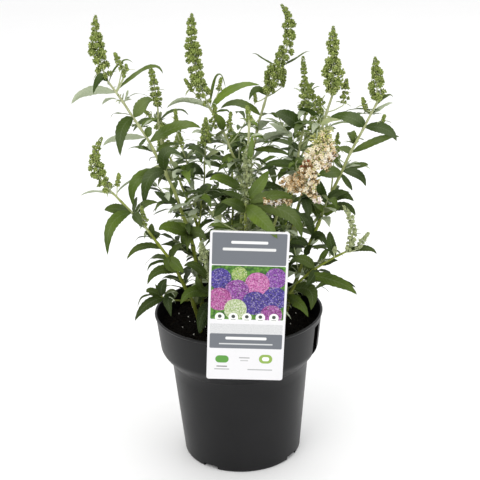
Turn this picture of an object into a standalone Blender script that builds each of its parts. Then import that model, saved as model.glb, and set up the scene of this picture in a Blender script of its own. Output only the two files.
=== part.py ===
"""Potted butterfly bush: a young shrub of many canes in a grower's pot, with a hanging label.

Metres, +Z up. The pot stands on z = 0 with its middle on the Z axis. The front, where the
label hangs, faces -Y. The tables of the plant are in millimetres, as (x, y) or (x, y, z).
"""
import bpy
import bmesh
import math
import random
from mathutils import Vector

# Gap that touching pieces keep
GAP = 0.0003

# Pot
POT_HEIGHT = 0.184
RIM_RADIUS = 0.100
COLLAR_FOOT_RADIUS = 0.0955
NECK_RADIUS = 0.0827
BASE_RADIUS = 0.0715
SHOULDER_TOP = 0.1420
SHOULDER_FOOT = 0.1220
POT_WALL = 0.0017
POT_FLOOR = 0.0065
POT_STEPS = 32
NOTCH_WIDTH = 0.020
NOTCH_HEIGHT = 0.0048
NOTCH_DEPTH = 0.010
NOTCH_TURNS = (-34.0, 56.0, 146.0, 236.0)

# Label channel in the collar, an upright slot open at its foot
CHANNEL_TURN = 68.0
CHANNEL_WIDTH = 0.016
CHANNEL_FLOOR_RADIUS = 0.0900
CHANNEL_WALL = 0.0018
CHANNEL_TOP = 0.1755

# Soil
SOIL_TOP = 0.164

# Label, a stiff card that hangs over the rim by a tongue
CARD_WIDTH = 0.086
CARD_HEIGHT = 0.178
CARD_THICK = 0.0006
CARD_X = 0.0095
CARD_Z = 0.2288
CARD_TURN = 3.6
TONGUE_WIDTH = 0.024
TONGUE_FOOT = 0.170
TONGUE_BACK = -0.0934

# Plant
FIRST_STRETCH = 0.005
CANE_STATIONS = 6
SPIKE_STATIONS = 7
SPIKE_NECK = 0.003
LOWEST_LEAF = 0.1875
FRONT_LIMIT = -0.0965

# Each cane: foot (x, y), top (x, y, z), bow (x, y, z) of its middle, radius at foot and top
CANES = {
    "cane_left_tall": ((-44, 2), (-139, 10, 462), (26, 0, 0), 2.7, 1.3),
    "cane_mid_left": ((-10, 12), (-27, 45, 421), (32, 0, 0), 2.6, 1.2),
    "cane_mid_tall": ((4, 28), (42, 78, 426), (-13, 0, 0), 2.7, 1.3),
    "cane_front": ((10, -26), (18, -45, 424), (-3, 0, 0), 2.4, 1.3),
    "cane_mid_right": ((27, 33), (86, 70, 400), (6, 0, 0), 2.3, 1.2),
    "cane_right_tall": ((42, 16), (116, 40, 430), (-4, 0, 0), 2.6, 1.4),
    "cane_right_arch": ((54, -2), (163, 0, 430), (-8, 0, 0), 2.6, 1.3),
    "cane_right_low": ((46, -24), (123, -62, 276), (-18, 0, 6), 2.2, 1.1),
    "cane_left_low": ((-46, -20), (-136, -50, 350), (15, 0, 0), 2.4, 1.2),
    "cane_bloom": ((26, -40), (52, -50, 337), (-7, 0, 0), 2.3, 1.5),
    "cane_front_low": ((-24, -38), (-36, -55, 264), (0, 0, 0), 1.8, 1.2),
    "cane_back_left": ((-26, 42), (-82, 118, 345), (8, -10, 0), 2.3, 1.2),
    "cane_back_mid": ((-6, 52), (-2, 138, 335), (0, -12, 0), 2.3, 1.2),
    "cane_back_right": ((20, 54), (92, 122, 352), (-6, -10, 0), 2.3, 1.2),
}
# The cane that forks from the tall left one: host, place along it, top, bow, radii
BRANCH = ("cane_left_branch", "cane_left_tall", 0.62, (-87, 45, 421), (-2, 4, 0), 1.4, 1.1)

# Each flower spike: its cane, tip (x, y, z), bow (x, y, z), widest radius
SPIKES = {
    "spike_left_tall": ("cane_left_tall", (-148, 15, 535), (1, 0, 0), 6.0),
    "spike_left_branch": ("cane_left_branch", (-94, 55, 469), (1, 0, 0), 4.6),
    "spike_mid_left": ("cane_mid_left", (-43, 60, 527), (-8, 0, 0), 5.4),
    "spike_mid_tall": ("cane_mid_tall", (61, 90, 530), (17, 0, 0), 5.6),
    "spike_front": ("cane_front", (16, -46, 442), (0, 0, 0), 2.6),
    "spike_mid_right": ("cane_mid_right", (85, 75, 471), (1, 0, 0), 5.0),
    "spike_right_tall": ("cane_right_tall", (118, 45, 510), (0, 0, 0), 9.0),
    "spike_right_arch": ("cane_right_arch", (160, 0, 482), (1, 0, 0), 6.4),
    "spike_right_low": ("cane_right_low", (121, -62, 326), (8, 0, 0), 4.8),
    "spike_left_low": ("cane_left_low", (-143, -50, 413), (-13, 0, 0), 5.2),
    "spike_front_low": ("cane_front_low", (-40, -60, 291), (0, 0, 0), 4.4),
    "spike_back_left": ("cane_back_left", (-92, 132, 392), (-3, 2, 0), 5.0),
    "spike_back_mid": ("cane_back_mid", (-6, 152, 376), (2, 2, 0), 4.8),
    "spike_back_right": ("cane_back_right", (101, 136, 398), (4, 2, 0), 5.0),
}
# The open blossom on its own cane
BLOOM = ("bloom_cone", "cane_bloom", (104, -60, 416), (-3, 0, 0), 16.0)

# Each mass of leaves: its cane, place along it, body radius, length of its leaves, turn of
# the first pair of leaves about Z in degrees, droop in degrees
MASSES = {
    "leaves_left_tall_top": ("cane_left_tall", 0.90, 17, 58, 186, 6),
    "leaves_left_tall_mid": ("cane_left_tall", 0.74, 18, 56, 14, 8),
    "leaves_left_tall_low": ("cane_left_tall", 0.52, 26, 52, 60, 14),
    "leaves_left_tall_foot": ("cane_left_tall", 0.25, 22, 46, 30, 16),
    "leaves_left_branch": ("cane_left_branch", 0.62, 15, 42, 20, 10),
    "leaves_mid_left_top": ("cane_mid_left", 0.90, 17, 46, 75, 4),
    "leaves_mid_left_mid": ("cane_mid_left", 0.66, 26, 52, 35, 10),
    "leaves_mid_left_low": ("cane_mid_left", 0.38, 28, 48, 80, 12),
    "leaves_mid_tall_top": ("cane_mid_tall", 0.90, 18, 50, 10, 2),
    "leaves_mid_tall_mid": ("cane_mid_tall", 0.64, 28, 54, 50, 10),
    "leaves_mid_tall_low": ("cane_mid_tall", 0.34, 28, 50, 20, 14),
    "leaves_front_top": ("cane_front", 0.84, 14, 34, 0, 4),
    "leaves_front_mid": ("cane_front", 0.58, 22, 50, 40, 12),
    "leaves_mid_right": ("cane_mid_right", 0.80, 24, 48, 20, 8),
    "leaves_right_tall_top": ("cane_right_tall", 0.90, 16, 46, 60, 2),
    "leaves_right_tall_mid": ("cane_right_tall", 0.62, 27, 52, 20, 10),
    "leaves_right_arch_top": ("cane_right_arch", 0.86, 17, 50, 8, 2),
    "leaves_right_arch_mid": ("cane_right_arch", 0.58, 23, 56, 5, 8),
    "leaves_right_arch_low": ("cane_right_arch", 0.30, 26, 48, 30, 14),
    "leaves_right_low": ("cane_right_low", 0.80, 18, 46, -20, 10),
    "leaves_left_low_top": ("cane_left_low", 0.74, 18, 50, 200, 22),
    "leaves_left_low_foot": ("cane_left_low", 0.38, 25, 50, 215, 16),
    "leaves_bloom": ("cane_bloom", 0.62, 20, 48, 30, 12),
    "leaves_front_low": ("cane_front_low", 0.55, 17, 36, 200, 20),
    "leaves_back_left": ("cane_back_left", 0.62, 30, 58, 120, 10),
    "leaves_back_mid": ("cane_back_mid", 0.60, 30, 58, 80, 10),
    "leaves_back_right": ("cane_back_right", 0.62, 30, 58, 50, 10),
}
MASS_RINGS = 7
MASS_SEGMENTS = 10

# Colours, as linear RGB, and roughness
PLASTIC = ((0.036, 0.036, 0.038), 0.42)
COMPOST = ((0.012, 0.009, 0.006), 0.95)
CARD = ((0.80, 0.80, 0.80), 0.45)
STEM = ((0.34, 0.40, 0.20), 0.75)
LEAF = ((0.075, 0.150, 0.035), 0.65)
BUD = ((0.20, 0.29, 0.08), 0.75)
BLOSSOM = ((0.85, 0.74, 0.56), 0.70)


def mm(values):
    """Return a table entry in millimetres as a vector in metres."""
    return Vector(values) / 1000


def material(name, look):
    """Return the named material, made on first use."""
    found = bpy.data.materials.get(name)
    if found:
        return found
    made = bpy.data.materials.new(name)
    made.use_nodes = True
    shader = made.node_tree.nodes["Principled BSDF"]
    shader.inputs["Base Color"].default_value = (*look[0], 1)
    shader.inputs["Roughness"].default_value = look[1]
    shader.inputs["Metallic"].default_value = 0
    return made


def put(obj, collection, skin=None):
    """Put an object in one collection, with one material."""
    for other in list(obj.users_collection):
        other.objects.unlink(obj)
    collection.objects.link(obj)
    if skin:
        obj.data.materials.clear()
        obj.data.materials.append(skin)
    return obj


def hide_cutter(obj):
    """Mark an object as a cutter, which is no part of the plant."""
    obj.hide_render = True
    obj.display_type = "WIRE"
    return obj


def as_mesh(obj, name):
    """Turn a curve object, or one with modifiers, into a plain closed mesh object."""
    graph = bpy.context.evaluated_depsgraph_get()
    mesh = bpy.data.meshes.new_from_object(obj.evaluated_get(graph))
    place = obj.matrix_world.copy()
    bpy.data.objects.remove(obj)
    made = bpy.data.objects.new(name, mesh)
    made.matrix_world = place
    shape = bmesh.new()
    shape.from_mesh(mesh)
    bmesh.ops.remove_doubles(shape, verts=shape.verts, dist=0.000001)
    bmesh.ops.recalc_face_normals(shape, faces=shape.faces)
    shape.to_mesh(mesh)
    shape.free()
    return made


def boolean(obj, cutter, operation):
    """Add a Boolean modifier."""
    step = obj.modifiers.new(operation.title(), "BOOLEAN")
    step.operation = operation
    step.object = cutter
    return step


def collar_radius(z):
    """Outer radius of the pot at a height: a straight wall, a soft shoulder, a collar."""
    wall = BASE_RADIUS + (NECK_RADIUS - BASE_RADIUS) * z / SHOULDER_FOOT
    if z <= SHOULDER_FOOT:
        return wall
    share = (z - SHOULDER_TOP) / (POT_HEIGHT - SHOULDER_TOP)
    collar = COLLAR_FOOT_RADIUS + (RIM_RADIUS - COLLAR_FOOT_RADIUS) * max(share, -0.25)
    if z >= SHOULDER_TOP:
        return collar
    rise = (z - SHOULDER_FOOT) / (SHOULDER_TOP - SHOULDER_FOOT)
    ease = math.sin(rise * math.pi / 2) ** 1.3
    return wall + (collar - wall) * ease


def outer_heights():
    """Heights of the outer profile's points, from the rim down."""
    shoulder = [SHOULDER_FOOT + (SHOULDER_TOP - SHOULDER_FOOT) * i / 5 for i in range(5, -1, -1)]
    return [POT_HEIGHT, POT_HEIGHT - 0.010] + shoulder + [0.090, 0.045, 0.0]


def turned(name, profile, steps=POT_STEPS):
    """Turn an (radius, z) profile about Z. It runs down its outer side."""
    mesh = bpy.data.meshes.new(name)
    points = [(r, 0, z) for r, z in profile]
    mesh.from_pydata(points, [(i, i + 1) for i in range(len(points) - 1)], [])
    obj = bpy.data.objects.new(name, mesh)
    screw = obj.modifiers.new("Turn", "SCREW")
    screw.steps = steps
    screw.render_steps = steps
    screw.use_merge_vertices = True
    screw.merge_threshold = 0.00005
    return obj


def facing(turn):
    """Unit vector at an angle from the front (-Y) towards +X."""
    angle = math.radians(turn)
    return Vector((math.sin(angle), -math.cos(angle), 0))


def radial_box(name, turn, near, far, width, low, high, collection):
    """A box that lies along a radius of the pot."""
    bpy.ops.mesh.primitive_cube_add(size=1)
    box = bpy.context.object
    box.name = name
    box.scale = (width, far - near, high - low)
    middle = facing(turn) * (near + far) / 2
    box.location = (middle.x, middle.y, (low + high) / 2)
    box.rotation_euler = (0, 0, math.radians(turn))
    return hide_cutter(put(box, collection))


def make_pot(parts, cutters):
    """The pot: one turned shell, four drain notches at its foot, a label channel."""
    outer = [(collar_radius(z), z) for z in outer_heights()]
    inner = [(r - POT_WALL, z) for r, z in reversed(outer[:-1])]
    profile = [(0, POT_FLOOR), (BASE_RADIUS - POT_WALL + 0.0006, POT_FLOOR)] + inner + outer + [(0, 0)]
    pot = put(turned("pot", profile), parts, material("plastic", PLASTIC))

    form = turned("pot_form", [(0, POT_HEIGHT)] + [(r - 0.0004, z) for r, z in outer] + [(0, 0)])
    hide_cutter(put(form, cutters))
    side = CHANNEL_WIDTH + 2 * CHANNEL_WALL
    boss = radial_box("channel_boss", CHANNEL_TURN, CHANNEL_FLOOR_RADIUS - CHANNEL_WALL, 0.110, side,
                      SHOULDER_FOOT + 0.004, CHANNEL_TOP + CHANNEL_WALL, cutters)
    boolean(boss, form, "INTERSECT")
    boolean(pot, boss, "UNION")
    channel = radial_box("channel", CHANNEL_TURN, CHANNEL_FLOOR_RADIUS, 0.120, CHANNEL_WIDTH,
                         0.100, CHANNEL_TOP, cutters)
    boolean(pot, channel, "DIFFERENCE")

    for index, turn in enumerate(NOTCH_TURNS):
        middle = facing(turn) * (BASE_RADIUS + 0.010)
        bpy.ops.mesh.primitive_cylinder_add(vertices=20, radius=NOTCH_WIDTH / 2, depth=1)
        arch = bpy.context.object
        arch.name = f"notch_{index}"
        arch.scale = (1, NOTCH_HEIGHT / (NOTCH_WIDTH / 2), 2 * (NOTCH_DEPTH + 0.010))
        arch.location = (middle.x, middle.y, 0)
        arch.rotation_euler = (math.radians(90), 0, math.radians(turn))
        hide_cutter(put(arch, cutters))
        boolean(pot, arch, "DIFFERENCE")
    return pot


def make_soil(parts, cutters):
    """The compost that fills the pot, cut round the back of the label channel."""
    heights = [z for z in outer_heights() if POT_FLOOR < z < SOIL_TOP]
    side = [(collar_radius(z) - POT_WALL - GAP * 1.2, z) for z in heights]
    top = (collar_radius(SOIL_TOP) - POT_WALL - GAP * 1.2, SOIL_TOP)
    foot = (collar_radius(POT_FLOOR) - POT_WALL - GAP * 1.2 - 0.0008, POT_FLOOR + GAP)
    soil = turned("soil", [(0, SOIL_TOP), top] + side + [foot, (0, POT_FLOOR + GAP)])
    put(soil, parts, material("compost", COMPOST))
    width = CHANNEL_WIDTH + 2 * CHANNEL_WALL + 2 * GAP
    seat = radial_box("channel_seat", CHANNEL_TURN, CHANNEL_FLOOR_RADIUS - CHANNEL_WALL - GAP, 0.120,
                      width, SHOULDER_FOOT - 0.004, 0.200, cutters)
    boolean(soil, seat, "DIFFERENCE")
    return soil


def box_between(name, low, high, collection):
    """A box between two corners."""
    low, high = Vector(low), Vector(high)
    bpy.ops.mesh.primitive_cube_add(size=1)
    box = bpy.context.object
    box.name = name
    box.scale = high - low
    box.location = (low + high) / 2
    return put(box, collection)


def make_label(parts, cutters):
    """The card, and the tongue that goes over the rim and down inside the pot."""
    front = -RIM_RADIUS - 0.0004 - CARD_THICK
    bpy.ops.mesh.primitive_cube_add(size=1)
    card = bpy.context.object
    card.name = "label"
    card.scale = (CARD_WIDTH, CARD_THICK, CARD_HEIGHT)
    card.location = (CARD_X, front + CARD_THICK / 2, CARD_Z)
    card.rotation_euler = (0, math.radians(CARD_TURN), 0)
    put(card, parts, material("card", CARD))
    low = POT_HEIGHT + GAP
    half = TONGUE_WIDTH / 2
    inset = 0.0002
    bridge = box_between("tongue_bridge", (-half, front + CARD_THICK / 2, low),
                         (half, TONGUE_BACK, low + 0.0008), cutters)
    drop = box_between("tongue_drop", (-half + inset, TONGUE_BACK - CARD_THICK, TONGUE_FOOT),
                       (half - inset, TONGUE_BACK - inset, low + 0.0005), cutters)
    boolean(card, hide_cutter(bridge), "UNION")
    boolean(card, hide_cutter(drop), "UNION")
    return card


def tube(name, points, radii, sides_step=1):
    """A tapering limb: a bevelled curve with filled caps, made a mesh."""
    curve = bpy.data.curves.new(name, "CURVE")
    curve.dimensions = "3D"
    curve.bevel_depth = 1.0
    curve.bevel_resolution = sides_step
    curve.use_fill_caps = True
    spline = curve.splines.new("POLY")
    spline.points.add(len(points) - 1)
    for place, point, radius in zip(spline.points, points, radii):
        place.co = (*point, 1)
        place.radius = radius
    obj = bpy.data.objects.new(name, curve)
    bpy.context.scene.collection.objects.link(obj)
    return as_mesh(obj, name)


class Cane:
    """The line and the thickness of one cane."""

    def __init__(self, start, first, top, bow, foot_radius, top_radius):
        self.start = start
        self.foot = start + first * FIRST_STRETCH
        self.top = top
        self.bow = bow
        self.foot_radius = foot_radius
        self.top_radius = top_radius

    def point(self, t):
        """The point at a share of the length."""
        return self.foot.lerp(self.top, t) + self.bow * 4 * t * (1 - t)

    def radius(self, t):
        """The radius at a share of the length."""
        return self.foot_radius + (self.top_radius - self.foot_radius) * t

    def end_direction(self):
        """The direction in which the cane ends."""
        return (self.point(1.0) - self.point(0.96)).normalized()

    def line(self, grow=0.0):
        """Points and radii, made thicker and longer by grow for a cutter."""
        shares = [i / CANE_STATIONS for i in range(CANE_STATIONS + 1)]
        points = [self.start] + [self.point(t) for t in shares]
        radii = [self.foot_radius + grow] + [self.radius(t) + grow for t in shares]
        if grow:
            points[0] = points[0] - (points[1] - points[0]).normalized() * grow
            points[-1] = points[-1] + self.end_direction() * grow
        return points, radii


class Spike:
    """The line and the tiers of one flower spike, which stands on the end of its cane."""

    def __init__(self, cane, tip, bow, radius, seed, full=False):
        self.base = cane.point(1.0) + cane.end_direction() * GAP
        self.foot = self.base + cane.end_direction() * SPIKE_NECK
        self.tip = tip
        self.bow = bow
        self.size = radius
        self.base_radius = cane.top_radius
        self.full = full
        draw = random.Random(seed)
        self.uneven = [draw.uniform(0.86, 1.14) for _ in range(SPIKE_STATIONS + 1)]

    def point(self, t):
        """The point at a share of the length."""
        return self.foot.lerp(self.tip, t) + self.bow * 4 * t * (1 - t)

    def radius(self, index):
        """The radius of a tier: narrow at the foot, widest low down, thin at the tip."""
        t = index / SPIKE_STATIONS
        if index == 0:
            return self.base_radius * 1.5
        swell = min(1.0, 0.55 + 2.2 * t) if not self.full else min(1.0, 0.80 + 1.2 * t)
        taper = 1 - 0.86 * max(0.0, (t - 0.25) / 0.75) ** (1.0 if not self.full else 1.6)
        tier = 1.0 if index % 2 else 0.86
        return self.size * swell * taper * tier * self.uneven[index]

    def line(self, grow=0.0):
        """Points and radii, made thicker and longer by grow for a cutter."""
        points = [self.base] + [self.point(i / SPIKE_STATIONS) for i in range(SPIKE_STATIONS + 1)]
        radii = [self.base_radius + grow] + [self.radius(i) + grow for i in range(SPIKE_STATIONS + 1)]
        if grow:
            points[0] = points[0] - (points[1] - points[0]).normalized() * grow
            points[-1] = points[-1] + (points[-1] - points[-2]).normalized() * grow
        return points, radii


def make_canes():
    """Work out every cane, then the one that forks from another."""
    canes = {}
    for name, (foot, top, bow, low, high) in CANES.items():
        start = mm((*foot, 0)) + Vector((0, 0, SOIL_TOP + GAP))
        canes[name] = Cane(start, Vector((0, 0, 1)), mm(top), mm(bow), low / 1000, high / 1000)
    name, host, share, top, bow, low, high = BRANCH
    parent = canes[host]
    side = Vector((0, 1, 0))
    start = parent.point(share) + side * (parent.radius(share) + GAP + 0.0001)
    canes[name] = Cane(start, side, mm(top), mm(bow), low / 1000, high / 1000)
    return canes


def make_spikes(canes):
    """Work out every spike, and the open blossom."""
    spikes = {}
    for seed, (name, (cane, tip, bow, radius)) in enumerate(SPIKES.items()):
        spikes[name] = Spike(canes[cane], mm(tip), mm(bow), radius / 1000, seed)
    name, cane, tip, bow, radius = BLOOM
    spikes[name] = Spike(canes[cane], mm(tip), mm(bow), radius / 1000, 40, full=True)
    return spikes


def cut_by_plane(shape, point, normal):
    """Drop what lies beyond a plane, and close the cut."""
    everything = list(shape.verts) + list(shape.edges) + list(shape.faces)
    bmesh.ops.bisect_plane(shape, geom=everything, dist=0.00001, plane_co=point, plane_no=normal,
                           clear_outer=True)
    rim = [edge for edge in shape.edges if edge.is_boundary]
    if rim:
        bmesh.ops.holes_fill(shape, edges=rim, sides=0)


def keep_largest(shape):
    """Keep only the largest piece of a cut solid."""
    left = set(shape.verts)
    groups = []
    while left:
        stack = [left.pop()]
        group = set(stack)
        while stack:
            for edge in stack.pop().link_edges:
                for vert in edge.verts:
                    if vert in left:
                        left.remove(vert)
                        group.add(vert)
                        stack.append(vert)
        groups.append(group)
    groups.sort(key=len)
    loose = [vert for group in groups[:-1] for vert in group]
    if loose:
        bmesh.ops.delete(shape, geom=loose, context="VERTS")


def mass_form(centre, body, reach, turn, droop, seed):
    """An uneven lump with pairs of pointed lobes, each pair at right angles to the last."""
    draw = random.Random(seed)
    lobes = []
    for index in range(6):
        heading = math.radians(turn + 90 * (index % 2) + 180 * (index // 2 % 2) + draw.uniform(-14, 14))
        tilt = math.radians(-droop - draw.uniform(-8, 12) + (28 if index > 3 else 0))
        length = reach * draw.uniform(0.82, 1.0) * (1 if index < 2 else 0.88)
        flat = Vector((math.cos(heading), math.sin(heading), 0))
        lobes.append(((flat * math.cos(tilt) + Vector((0, 0, math.sin(tilt)))) * length, length))
    phases = [draw.uniform(0, 2 * math.pi) for _ in range(3)]

    shape = bmesh.new()
    bmesh.ops.create_uvsphere(shape, u_segments=MASS_SEGMENTS, v_segments=MASS_RINGS, radius=1.0)
    rays = {vert: vert.co.normalized() for vert in shape.verts}
    for vert, ray in rays.items():
        wave = sum(math.sin(4 * ray[i] * math.pi + phases[i]) for i in range(3))
        distance = body * (1 + 0.10 * wave) * (1 + 0.35 * abs(ray.z))
        for tip, length in lobes:
            near = max(0.0, 1 - ray.angle(tip) / 0.62) ** 1.5
            distance = max(distance, distance + (length - distance) * near)
        vert.co = centre + ray * distance
    for tip, length in lobes:
        closest = min(rays, key=lambda vert: rays[vert].angle(tip))
        if rays[closest].angle(tip) < 0.30:
            closest.co = centre + tip
    return shape


def make_masses(canes, spikes, parts, cutters):
    """Make the masses of leaves, part them where they meet, cut them round the limbs."""
    centres = {}
    for name, (host, share, body, reach, turn, droop) in MASSES.items():
        centres[name] = (canes[host].point(share), body / 1000, reach / 1000)
    limbs = []
    for name, limb in list(canes.items()) + list(spikes.items()):
        points, radii = limb.line(GAP * 1.3)
        sides = 2 if name == BLOOM[0] else 1
        cutter = tube("cut_" + name, points, radii, sides)
        hide_cutter(put(cutter, cutters))
        limbs.append((cutter, points, max(radii)))

    for seed, (name, row) in enumerate(MASSES.items()):
        centre, body, reach = centres[name]
        shape = mass_form(centre, body, reach, row[4], row[5], seed + 100)
        for other, (there, size, span) in centres.items():
            apart = there - centre
            if other == name or apart.length > reach + span:
                continue
            share = body / (body + size)
            plane = centre + apart * share - apart.normalized() * GAP / 2
            cut_by_plane(shape, plane, apart.normalized())
        cut_by_plane(shape, Vector((0, 0, LOWEST_LEAF)), Vector((0, 0, -1)))
        cut_by_plane(shape, Vector((0, FRONT_LIMIT, 0)), Vector((0, -1, 0)))
        keep_largest(shape)
        bmesh.ops.triangulate(shape, faces=shape.faces)
        bmesh.ops.recalc_face_normals(shape, faces=shape.faces)
        mesh = bpy.data.meshes.new(name)
        shape.to_mesh(mesh)
        shape.free()
        obj = bpy.data.objects.new(name, mesh)
        bpy.context.scene.collection.objects.link(obj)
        low = Vector([min(v.co[i] for v in mesh.vertices) for i in range(3)])
        high = Vector([max(v.co[i] for v in mesh.vertices) for i in range(3)])
        for cutter, points, size in limbs:
            first = Vector([min(p[i] for p in points) - size for i in range(3)])
            last = Vector([max(p[i] for p in points) + size for i in range(3)])
            if all(first[i] < high[i] and last[i] > low[i] for i in range(3)):
                boolean(obj, cutter, "DIFFERENCE")
        bpy.context.view_layer.update()
        whole = as_mesh(obj, name)
        shape = bmesh.new()
        shape.from_mesh(whole.data)
        keep_largest(shape)
        shape.to_mesh(whole.data)
        shape.free()
        put(whole, parts, material("leaf", LEAF))
        whole.name = name


def main():
    """Clear the scene and build the plant."""
    for obj in list(bpy.data.objects):
        bpy.data.objects.remove(obj)
    parts = bpy.data.collections.new("potted_butterfly_bush")
    cutters = bpy.data.collections.new("cutters")
    bpy.context.scene.collection.children.link(parts)
    bpy.context.scene.collection.children.link(cutters)

    make_pot(parts, cutters)
    make_soil(parts, cutters)
    make_label(parts, cutters)

    canes = make_canes()
    spikes = make_spikes(canes)
    for name, cane in canes.items():
        points, radii = cane.line()
        put(tube(name, points, radii), parts, material("stem", STEM))
    for name, spike in spikes.items():
        points, radii = spike.line()
        bloom = name == BLOOM[0]
        skin = material("blossom", BLOSSOM) if bloom else material("bud", BUD)
        put(tube(name, points, radii, 2 if bloom else 1), parts, skin)
    make_masses(canes, spikes, parts, cutters)


main()
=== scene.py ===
import math
import random

import bpy
import numpy as np
from mathutils import Matrix, Vector, noise


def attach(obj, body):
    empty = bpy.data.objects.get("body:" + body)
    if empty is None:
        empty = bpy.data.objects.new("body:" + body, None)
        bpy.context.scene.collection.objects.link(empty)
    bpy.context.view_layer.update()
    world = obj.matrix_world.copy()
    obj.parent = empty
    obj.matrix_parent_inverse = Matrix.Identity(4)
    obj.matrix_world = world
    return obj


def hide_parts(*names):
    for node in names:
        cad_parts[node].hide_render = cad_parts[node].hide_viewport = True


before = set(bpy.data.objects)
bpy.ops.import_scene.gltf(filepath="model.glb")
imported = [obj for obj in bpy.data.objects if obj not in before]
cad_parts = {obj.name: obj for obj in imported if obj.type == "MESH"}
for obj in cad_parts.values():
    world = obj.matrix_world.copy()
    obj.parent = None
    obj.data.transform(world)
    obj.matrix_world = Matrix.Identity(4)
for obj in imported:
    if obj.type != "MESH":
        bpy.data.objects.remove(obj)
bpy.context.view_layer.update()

bl_info = {
    "name": "Potted Butterfly Bush",
    "version": (1, 0, 0),
    "blender": (4, 5, 0),
    "location": "View3D > Sidebar > Bush",
    "description": "A butterfly bush in a nursery pot, with compost, label, canes, leaves and flowers",
    "category": "Add Mesh",
}

# The plant's tables are in millimetres, and MM turns them into metres. Single sizes are in metres.
MM = 0.001
UP = Vector((0, 0, 1))
FRONT = Vector((0, -1, 0))
# The turn from one bud to the next that spreads them evenly over a ball.
GOLDEN_TURN = 2.39996

# The pot's sizes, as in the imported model.
POT_HEIGHT = 0.184
RIM_RADIUS = 0.100
COLLAR_FOOT_RADIUS = 0.0955
NECK_RADIUS = 0.0827
BASE_RADIUS = 0.0715
SHOULDER_TOP = 0.1420
SHOULDER_FOOT = 0.1220
POT_WALL = 0.0017
POT_FLOOR = 0.0065
NOTCH_TURNS = (-34, 56, 146, 236)
CHANNEL_TURN = 68
SOIL_TOP = 0.164
GAP = 0.0003

# The label's sizes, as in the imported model.
CARD_WIDTH = 0.086
CARD_HEIGHT = 0.178
CARD_THICK = 0.0006
CARD_CENTRE = (0.0095, -0.1007, 0.2288)
CARD_TURN = math.radians(3.6)
TONGUE_HALF = 0.012
TONGUE_FOOT = 0.170
TONGUE_BACK = -0.0934
CARD_CORNER = 0.0028
# The place on the card's map of all that isn't printed.
OFF_PAGE = (-50, -50)

# Each cane: foot on the compost, top, bow at its middle, foot radius and top radius.
CANES = {
    "left_tall": ((-44, 2), (-139, 10, 462), (26, 0, 0), 2.7, 1.3),
    "mid_left": ((-10, 12), (-27, 45, 421), (32, 0, 0), 2.6, 1.2),
    "mid_tall": ((4, 28), (42, 78, 426), (-13, 0, 0), 2.7, 1.3),
    "front": ((10, -26), (18, -45, 424), (-3, 0, 0), 2.4, 1.3),
    "mid_right": ((27, 33), (86, 70, 400), (6, 0, 0), 2.3, 1.2),
    "right_tall": ((42, 16), (116, 40, 430), (-4, 0, 0), 2.6, 1.4),
    "right_arch": ((54, -2), (163, 0, 430), (-8, 0, 0), 2.6, 1.3),
    "right_low": ((46, -24), (123, -62, 276), (-18, 0, 6), 2.2, 1.1),
    "left_low": ((-46, -20), (-136, -50, 350), (15, 0, 0), 2.4, 1.2),
    "bloom": ((26, -40), (52, -50, 337), (-7, 0, 0), 2.3, 1.5),
    "front_low": ((-24, -38), (-36, -55, 264), (0, 0, 0), 1.8, 1.2),
    "back_left": ((-26, 42), (-82, 118, 345), (8, -10, 0), 2.3, 1.2),
    "back_mid": ((-6, 52), (-2, 138, 335), (0, -12, 0), 2.3, 1.2),
    "back_right": ((20, 54), (92, 122, 352), (-6, -10, 0), 2.3, 1.2),
}

# Each side shoot: parent, height on it, top, bow, foot radius and top radius.
SHOOTS = {
    "left_branch": ("left_tall", 350, (-87, 45, 421), (-2, 4, 0), 1.4, 1.1),
    "shoot_inner": ("back_left", 261, (-33, 25, 378), (2, 0, 0), 1.2, 0.8),
    "shoot_left": ("back_left", 269, (-59, 15, 378), (5, 0, 3), 1.1, 0.7),
    "shoot_rim": ("left_low", 208, (-88, -60, 228), (0, 0, -3), 1.1, 0.8),
    "shoot_bloom": ("right_arch", 326, (116, 18, 353), (0, 0, -1), 1.0, 0.8),
}

# Each terminal spike: tip, bow at its middle, radius, the share of its length that tapers,
# and how far its bow is drawn up towards the tip.
SPIKES = {
    "left_tall": ((-148, 15, 535), (-5, 0, 0), 14.4, 0.72, 1.0),
    "left_branch": ((-94, 55, 469), (1, 0, 0), 10.5, 0.85, 1.0),
    "mid_left": ((-43, 60, 527), (-8, 0, 0), 13.4, 0.45, 1.0),
    "mid_tall": ((61, 90, 530), (16, 0, 0), 12.5, 0.42, 1.6),
    "front": ((16, -46, 442), (0, 0, 0), 6.5, 0.80, 1.0),
    "mid_right": ((85, 75, 471), (1, 0, 0), 10.5, 0.75, 1.0),
    "right_tall": ((118, 45, 510), (0, 0, 0), 16.4, 0.95, 1.0),
    "right_arch": ((160, 0, 482), (1, 0, 0), 13.4, 0.78, 1.0),
    "right_low": ((119, -62, 330), (9, 0, 0), 9.5, 0.85, 1.0),
    "left_low": ((-143, -50, 413), (-13, 0, 0), 12.6, 0.65, 1.0),
    "front_low": ((-40, -60, 291), (0, 0, 0), 9.0, 0.80, 1.0),
    "back_left": ((-92, 132, 392), (-3, 2, 0), 11.5, 0.65, 1.0),
    "back_mid": ((-6, 148, 376), (2, 2, 0), 11.0, 0.65, 1.0),
    "back_right": ((101, 136, 398), (4, 2, 0), 11.5, 0.65, 1.0),
}
# The spikes that are still felted and pale.
FELTED_SPIKES = ("right_low", "front_low")

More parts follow.
